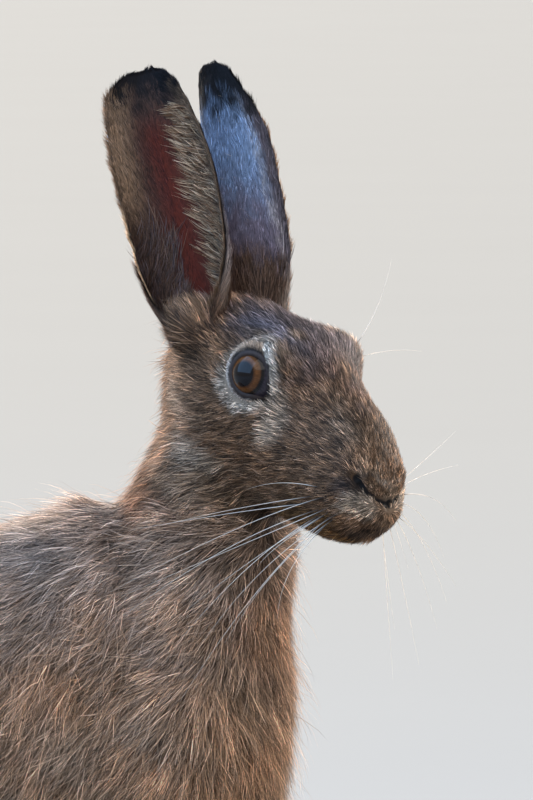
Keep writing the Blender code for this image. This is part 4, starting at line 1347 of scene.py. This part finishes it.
# The colours outwards from the middle of the pupil, by the angle from the gaze
PUPIL_BLACK = (0.003, 0.002, 0.003)
IRIS_BANDS = (
    (0.0, PUPIL_BLACK),
    (PUPIL_ANGLE - 0.012, PUPIL_BLACK),
    (PUPIL_ANGLE + 0.02, (0.03, 0.011, 0.004)),
    (0.56, (0.1, 0.036, 0.010)),
    (0.7, (0.08, 0.03, 0.009)),
    (IRIS_ANGLE - 0.02, (0.010, 0.006, 0.004)),
    (0.85, (0.006, 0.005, 0.006)),
    (0.95, (0.03, 0.024, 0.032)),
)
# How much narrower than tall the pupil and the iris are
PUPIL_SQUEEZE = 1.1


def eye_material():
    """A wet eye: black pupil, amber iris with fibres that run outwards, dark rim and brown white."""
    made, tree, shader = new_material(
        "eye",
        Roughness=0.5,
        Metallic=0.0,
        Specular_IOR_Level=0.0,
        Coat_Weight=1.0,
        Coat_Roughness=0.015,
        Coat_IOR=1.33,
    )
    own = add(tree, "Attribute", {}, attribute_name="gaze")["Vector"]
    x, y, _ = add(tree, "SeparateXYZ", {0: own})
    wide = add(tree, "Math", {0: x, 1: PUPIL_SQUEEZE}, operation="MULTIPLY")[0]
    flat = add(tree, "CombineXYZ", {"X": wide, "Y": y})[0]
    reach = add(tree, "VectorMath", {0: flat}, operation="LENGTH")["Value"]
    turn = add(tree, "Math", {0: y, 1: x}, operation="ARCTAN2")[0]
    spokes = add(tree, "CombineXYZ", {"X": turn, "Y": reach})[0]
    spokes = add(tree, "Mapping", {"Vector": spokes, "Scale": (9.0, 3.0, 1.0)})[0]
    fibres = add(tree, "TexNoise", {"Vector": spokes, "Scale": 2.0, "Detail": 3})["Fac"]
    limits = {"From Min": 0.3, "From Max": 0.7, "To Min": 0.55, "To Max": 1.5}
    streak = add(tree, "MapRange", {"Value": fibres, **limits})["Result"]
    feed(tree, shader, {"Base Color": multiplied(tree, ramp(tree, reach, IRIS_BANDS), streak)})
    return made


def make_eye(side, material):
    """One eyeball, with its flat view as an attribute, in place of its solid."""
    points, faces, seen = eye_surface(side)
    made = mesh_object(f"eyeball_{SIDES[side]}", points, faces if side > 0 else faces[:, ::-1])
    layer = made.data.attributes.new("gaze", "FLOAT_VECTOR", "POINT")
    layer.data.foreach_set("vector", seen.astype(np.float32).ravel())
    dress(made, material, "eye", f"eye_{SIDES[side]}")


# The rim of the lids outwards from the opening's outline: the way out and the height over the eyeball,
# in millimetres
LID_PROFILE = catmull_rom(
    ((-0.5, -0.1), (-0.5, 0.3), (-0.15, 0.85), (0.4, 1.1), (1.1, 1.15), (2.2, 1.0), (3.6, 0.6), (5.0, 0.0)),
    40,
)
# The part of the profile that runs outwards only
LID_OUTWARDS = LID_PROFILE[14:].T
LID_EDGE = 2.2 * MM
LID_SIDES = 96


def lid_points(side, angle, out, rise):
    """Points of the rim round an opening, and the directions out from the opening's middle, by the angle
    round it, the way out from its outline and the height over the eyeball in millimetres.
    """
    centre, axis, forward, upward = lid_axes(side)
    heavy = 1 + 0.25 * ease(0.1, 0.9, np.sin(angle))
    lean = np.minimum((lid_outline(angle) + out * MM) / EYE_RADIUS, 0.985)[:, None]
    tall = (EYE_RADIUS + rise * heavy * MM)[:, None]
    ring = np.outer(np.cos(angle), forward) + np.outer(np.sin(angle), upward)
    points = (ring * lean + axis * np.sqrt(1 - lean**2)) * tall
    return from_head(centre + points), ring @ HEAD_AXES.T


def lid_surface(side):
    """A rim round the opening: at each angle the profile leaves the eyeball, rises over a round edge
    and runs out under the fur.
    """
    angle = np.tile(np.linspace(0, 2 * math.pi, LID_SIDES, endpoint=False), len(LID_PROFILE))
    points, _ = lid_points(side, angle, *np.repeat(LID_PROFILE, LID_SIDES, axis=0).T)
    faces = grid_faces(len(LID_PROFILE), LID_SIDES)
    return points, faces if side < 0 else faces[:, ::-1]


LID_DARK_AND_PAINTED_SHADE = linear(30, 24, 24)
LID_PALE = linear(208, 190, 176)
LID_BUFF = linear(188, 158, 130)
LID_TUFTS = 5200
# Round patches of the map for the lids' tufts: place of the left one, way to the right one, radius
LID_MAP_PLACE = (0.9, 0.6)
LID_MAP_PITCH = 0.05
LID_MAP_RADIUS = 0.02


def lid_coat(material, rng):
    """Short hair on both rims, swept outwards and back: dark at the edge and, as painted shade under the
    brow, farther out above the eye, then a whitish ring that is broad below and behind the eye and buff
    above it.
    """
    grown = []
    for side in SIDES:
        count = LID_TUFTS
        angle = rng.uniform(0, 2 * math.pi, count)
        step = rng.uniform(0.2, 3.6, count)
        roots, ring = lid_points(side, angle, step, np.interp(step, *LID_OUTWARDS))
        axis = unit(mirrored(EYE_AXIS, side)) @ HEAD_AXES.T
        back = -HEAD_AXES[:, 0]
        normals = unit(axis + 0.45 * ring)
        ways = unit(ring + 0.55 * back + 0.12 * rng.normal(size=(count, 3)))
        ways = unit(ways - normals * (ways * normals).sum(1, keepdims=True))
        above = ease(-0.1, 0.7, np.sin(angle) + 0.25 * rng.normal(size=count))
        # The dark edge hair reaches farther out above the eye, as painted shade of the upper lid
        dark = 1 - ease(0.25, 0.7 + 0.8 * above, step + 0.2 * rng.normal(size=count))
        colour = blend(blend(LID_PALE, LID_BUFF, above), LID_DARK_AND_PAINTED_SHADE, dark)
        length = rng.uniform(1.3, 2.2, count) * (0.8 + 0.22 * step) * MM
        tuft = short_tufts(rng, colour, length, (0.2, 0.34), (0.12, 0.34), np.zeros(count), 0.5)
        places = LID_MAP_PLACE + LID_MAP_RADIUS * np.stack([np.cos(angle), np.sin(angle)], axis=1)
        places[:, 0] += LID_MAP_PITCH * (side < 0)
        grown.append(blades(roots, normals, ways, places, tuft))
    coat_pieces("coat_lids", joined(grown), 2, material)


# The lids' bare edge is near black and moist, with fine wrinkles
LID_FINISH = grained_material(
    "lid",
    (900, 900, 900),
    3,
    (0.018, 0.012, 0.011),
    (0.05, 0.038, 0.036),
    (0.4, 0.0002),
    Roughness=0.5,
    Specular_IOR_Level=0.14,
)
EYE_FINISH = eye_material()
for side, word in SIDES.items():
    make_eye(side, EYE_FINISH)
    dress(mesh_object(f"lids_{word}", *lid_surface(side)), LID_FINISH, "coat")


# The coat

print("coat")
lid_coat(COAT, np.random.default_rng(SEED + 40))
body_coat("coat_head", is_head, 2, SHORT, COAT, SEED + 41)
body_coat("coat_front", is_front, 3, LONG, COAT, SEED + 42)
body_coat("coat_rest", is_rest, 2, PLAIN, COAT, SEED + 43)
body_coat("coat_guard", is_front, 4, GUARD, COAT, SEED + 44)
for side in SIDES:
    ear_coat(side, COAT, SEED + 46 + side)


# Whiskers in the head's frame, in millimetres: root, a point that each bends over, and end. The two
# sides differ, as they do on the animal.

RIGHT_WHISKERS = (
    ((104, -17.5, -13), (80, -34, -33), (69, -89, -66)),
    ((106, -17, -17), (90, -32, -36), (77, -90, -63)),
    ((107, -17, -18), (92, -36, -42), (94, -70, -63)),
    ((108, -16, -19), (98, -38, -48), (109, -76, -95)),
    ((109, -15.5, -20), (96, -30, -44), (106, -56, -73)),
    ((104, -17, -22), (88, -24, -43), (91, -32, -50)),
    ((106, -16, -24), (92, -20, -50), (105, -28, -66)),
    ((100, -19, -12), (84, -26, -14), (88, -48, -15)),
    ((98, -19, -16), (76, -36, -30), (74, -77, -35)),
    ((102, -18, -20), (80, -40, -40), (72, -84, -78)),
    ((110, -14.5, -17), (100, -44, -40), (112, -78, -70)),
    ((102, -18, -23), (84, -28, -46), (80, -52, -86)),
    ((96, -19, -21), (70, -30, -36), (48, -60, -52)),
)
LEFT_WHISKERS = (
    ((106, 16, -11), (92, 50, -10), (79, 78, -8)),
    ((107, 16, -13), (94, 48, -15), (87, 76, -19)),
    ((108, 16, -15), (98, 52, -20), (91, 80, -43)),
    ((108, 16, -17), (98, 50, -28), (94, 76, -58)),
    ((109, 15, -19), (100, 48, -36), (102, 76, -74)),
    ((109, 15, -21), (102, 44, -42), (104, 72, -84)),
    ((108, 15, -23), (102, 38, -50), (107, 64, -98)),
    ((107, 15, -25), (100, 34, -54), (105, 53, -104)),
    ((104, 16, -24), (90, 40, -48), (88, 66, -92)),
    ((103, 17, -20), (86, 46, -38), (76, 78, -72)),
    ((100, 18, -16), (80, 44, -22), (60, 80, -40)),
    ((111, 13, -20), (108, 40, -34), (112, 66, -60)),
)
BROW_WHISKERS = (
    ((60, 26, 26), (52, 44, 34), (43, 52, 54)),
    ((62, 26, 22), (60, 46, 24), (62, 64, 21)),
)
WHISKERS = RIGHT_WHISKERS + LEFT_WHISKERS + BROW_WHISKERS
WHISKER_RADIUS = 0.2 * MM
WHISKER_STEPS = 17
WHISKER_SIDES = 3
WHISKER_DARK = linear(52, 42, 38)
WHISKER_PALE = linear(252, 246, 238)


def whisker_tubes():
    """Thin three-sided tubes: middle line (1 - s) squared x root + 2 s (1 - s) x bend + s squared x
    end, and a radius that falls as 1 - 0.9 s.
    """
    steps = np.linspace(0, 1, WHISKER_STEPS)
    weights = np.stack([(1 - steps) ** 2, 2 * steps * (1 - steps), steps**2], axis=1)
    turns = 2 * math.pi * np.arange(WHISKER_SIDES)[None, :, None] / WHISKER_SIDES
    radius = WHISKER_RADIUS * (1 - 0.9 * steps)
    rings = []
    for row in WHISKERS:
        bent = from_head(np.array(row) * MM)
        bent[0] = skin_points[np.argmin(((skin_points - bent[0]) ** 2).sum(1))]
        line = weights @ bent
        along = unit(np.gradient(line, axis=0))
        across = unit(np.cross(along, (0, 0, 1)))
        above = np.cross(across, along)
        spoke = across[:, None] * np.cos(turns) + above[:, None] * np.sin(turns)
        rings.append(line[:, None] + spoke * radius[:, None, None])
    one = grid_faces(WHISKER_STEPS, WHISKER_SIDES)
    faces = np.vstack([one + i * WHISKER_SIDES * WHISKER_STEPS for i in range(len(WHISKERS))])
    share = np.tile(np.repeat(ease(0.03, 0.22, steps), WHISKER_SIDES), len(WHISKERS))
    return np.array(rings).reshape(-1, 3), faces, blend(WHISKER_DARK, WHISKER_PALE, share)


points, faces, colours = whisker_tubes()
whiskers = mesh_object("whiskers", points, faces)
write_colour(whiskers.data, colours)
# Stiff glossy hair that lets more light through than the coat does
dress(whiskers, hair_material("whisker", roughness=0.3, scale=300, amount=0.2, through_share=0.5), "coat")

# Claws keep their solids and get a finish of dull dark horn with paler streaks along it
HORN = grained_material(
    "claw",
    (120, 900, 900),
    2,
    (0.02, 0.015, 0.012),
    (0.12, 0.09, 0.07),
    (0.3, 0.0001),
    Roughness=0.42,
)
for name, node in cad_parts.items():
    if name.startswith("claw"):
        node.data.materials.clear()
        node.data.materials.append(HORN)


# Floor, light and camera


def floor_material():
    """A plain pale floor with a faint mottle."""
    made, tree, shader = new_material("floor", Roughness=0.9, Metallic=0.0)
    tone = tree.nodes.new("ShaderNodeRGB").outputs[0]
    tone.default_value = (0.245, 0.26, 0.268, 1)
    feed(tree, shader, {"Base Color": mottled(tree, tone, 3, 0.04)[0]})
    return made


def facing(way):
    """The turn of a lamp or a camera that stands off in one direction and looks back."""
    return (-Vector(way)).to_track_quat("-Z", "Y").to_euler()


FLOOR_REACH = 60
floor = mesh_object(
    "floor",
    np.array([(-1, -1, 0), (1, -1, 0), (1, 1, 0), (-1, 1, 0)], float) * FLOOR_REACH,
    np.array([(0, 1, 2, 3)]),
    smooth=False,
)
floor.data.materials.append(floor_material())

world = bpy.data.worlds.new("studio")
world.use_nodes = True
world.node_tree.nodes["Background"].inputs["Color"].default_value = (0.93, 0.96, 1.0, 1)
world.node_tree.nodes["Background"].inputs["Strength"].default_value = 0.6
bpy.context.scene.world = world

# Far soft lights, which leave the floor evenly lit: where each stands, its width, strength and colour
SUNS = (
    ("key", (0.35, -1.0, 1.1), 50, 1.0, (1.0, 0.98, 0.95)),
    ("rim_left", (-0.6, 1.3, 0.5), 10, 5.6, (1.0, 0.87, 0.74)),
    ("rim_right", (1.0, 0.9, 0.45), 14, 4.5, (1.0, 0.97, 0.93)),
)
for name, place, width_deg, strength, colour in SUNS:
    lamp = bpy.data.lights.new(name, "SUN")
    lamp.angle = math.radians(width_deg)
    lamp.energy = strength
    lamp.color = colour
    new_object(name, lamp).rotation_euler = facing(place)

# A cool panel at the hare's back and side, whose lower edge shows as a line across the eye
HEAD_MIDDLE = from_head(np.array((50, 0, 0)) * MM)
PANEL_PLACE = np.array((-1.51, -0.75, 1.41))
lamp = bpy.data.lights.new("panel", "AREA")
lamp.shape = "RECTANGLE"
lamp.size, lamp.size_y = 3.4, 2.9
lamp.energy = 96
lamp.color = (0.26, 0.53, 0.95)
panel = new_object("panel", lamp)
panel.location = Vector(HEAD_MIDDLE + PANEL_PLACE)
panel.rotation_euler = facing(PANEL_PLACE)
panel.visible_camera = False

# The photo is 533 x 800 pixels at 0.40 mm a pixel where the hare is, seen from 4 degrees above.
PIXEL = 0.4 * MM
PHOTO_WIDTH, PHOTO_HEIGHT = 533, 800
LEVEL_PIXEL = (105, 497)
LEVEL_POINT = np.array((0, 0, 275)) * MM
CAMERA_DISTANCE = 4.0
CAMERA_ELEVATION = math.radians(4)
SENSOR = 36

RIGHTWARDS = (PHOTO_WIDTH / 2 - LEVEL_PIXEL[0]) * PIXEL
UPWARDS = (LEVEL_PIXEL[1] - PHOTO_HEIGHT / 2) * PIXEL
aim = BODY_ORIGIN + LEVEL_POINT + np.array((RIGHTWARDS, 0, UPWARDS))
lens = bpy.data.cameras.new("camera")
lens.sensor_width = SENSOR
lens.lens = CAMERA_DISTANCE * SENSOR / (PHOTO_HEIGHT * PIXEL)
camera = new_object("camera", lens)
back = np.array((0, -math.cos(CAMERA_ELEVATION), math.sin(CAMERA_ELEVATION)))
camera.location = Vector(aim + back * CAMERA_DISTANCE)
camera.rotation_euler = facing(back)
lens.clip_start = 0.1
lens.clip_end = 200
bpy.context.scene.camera = camera
bpy.context.scene.view_settings.view_transform = "Standard"
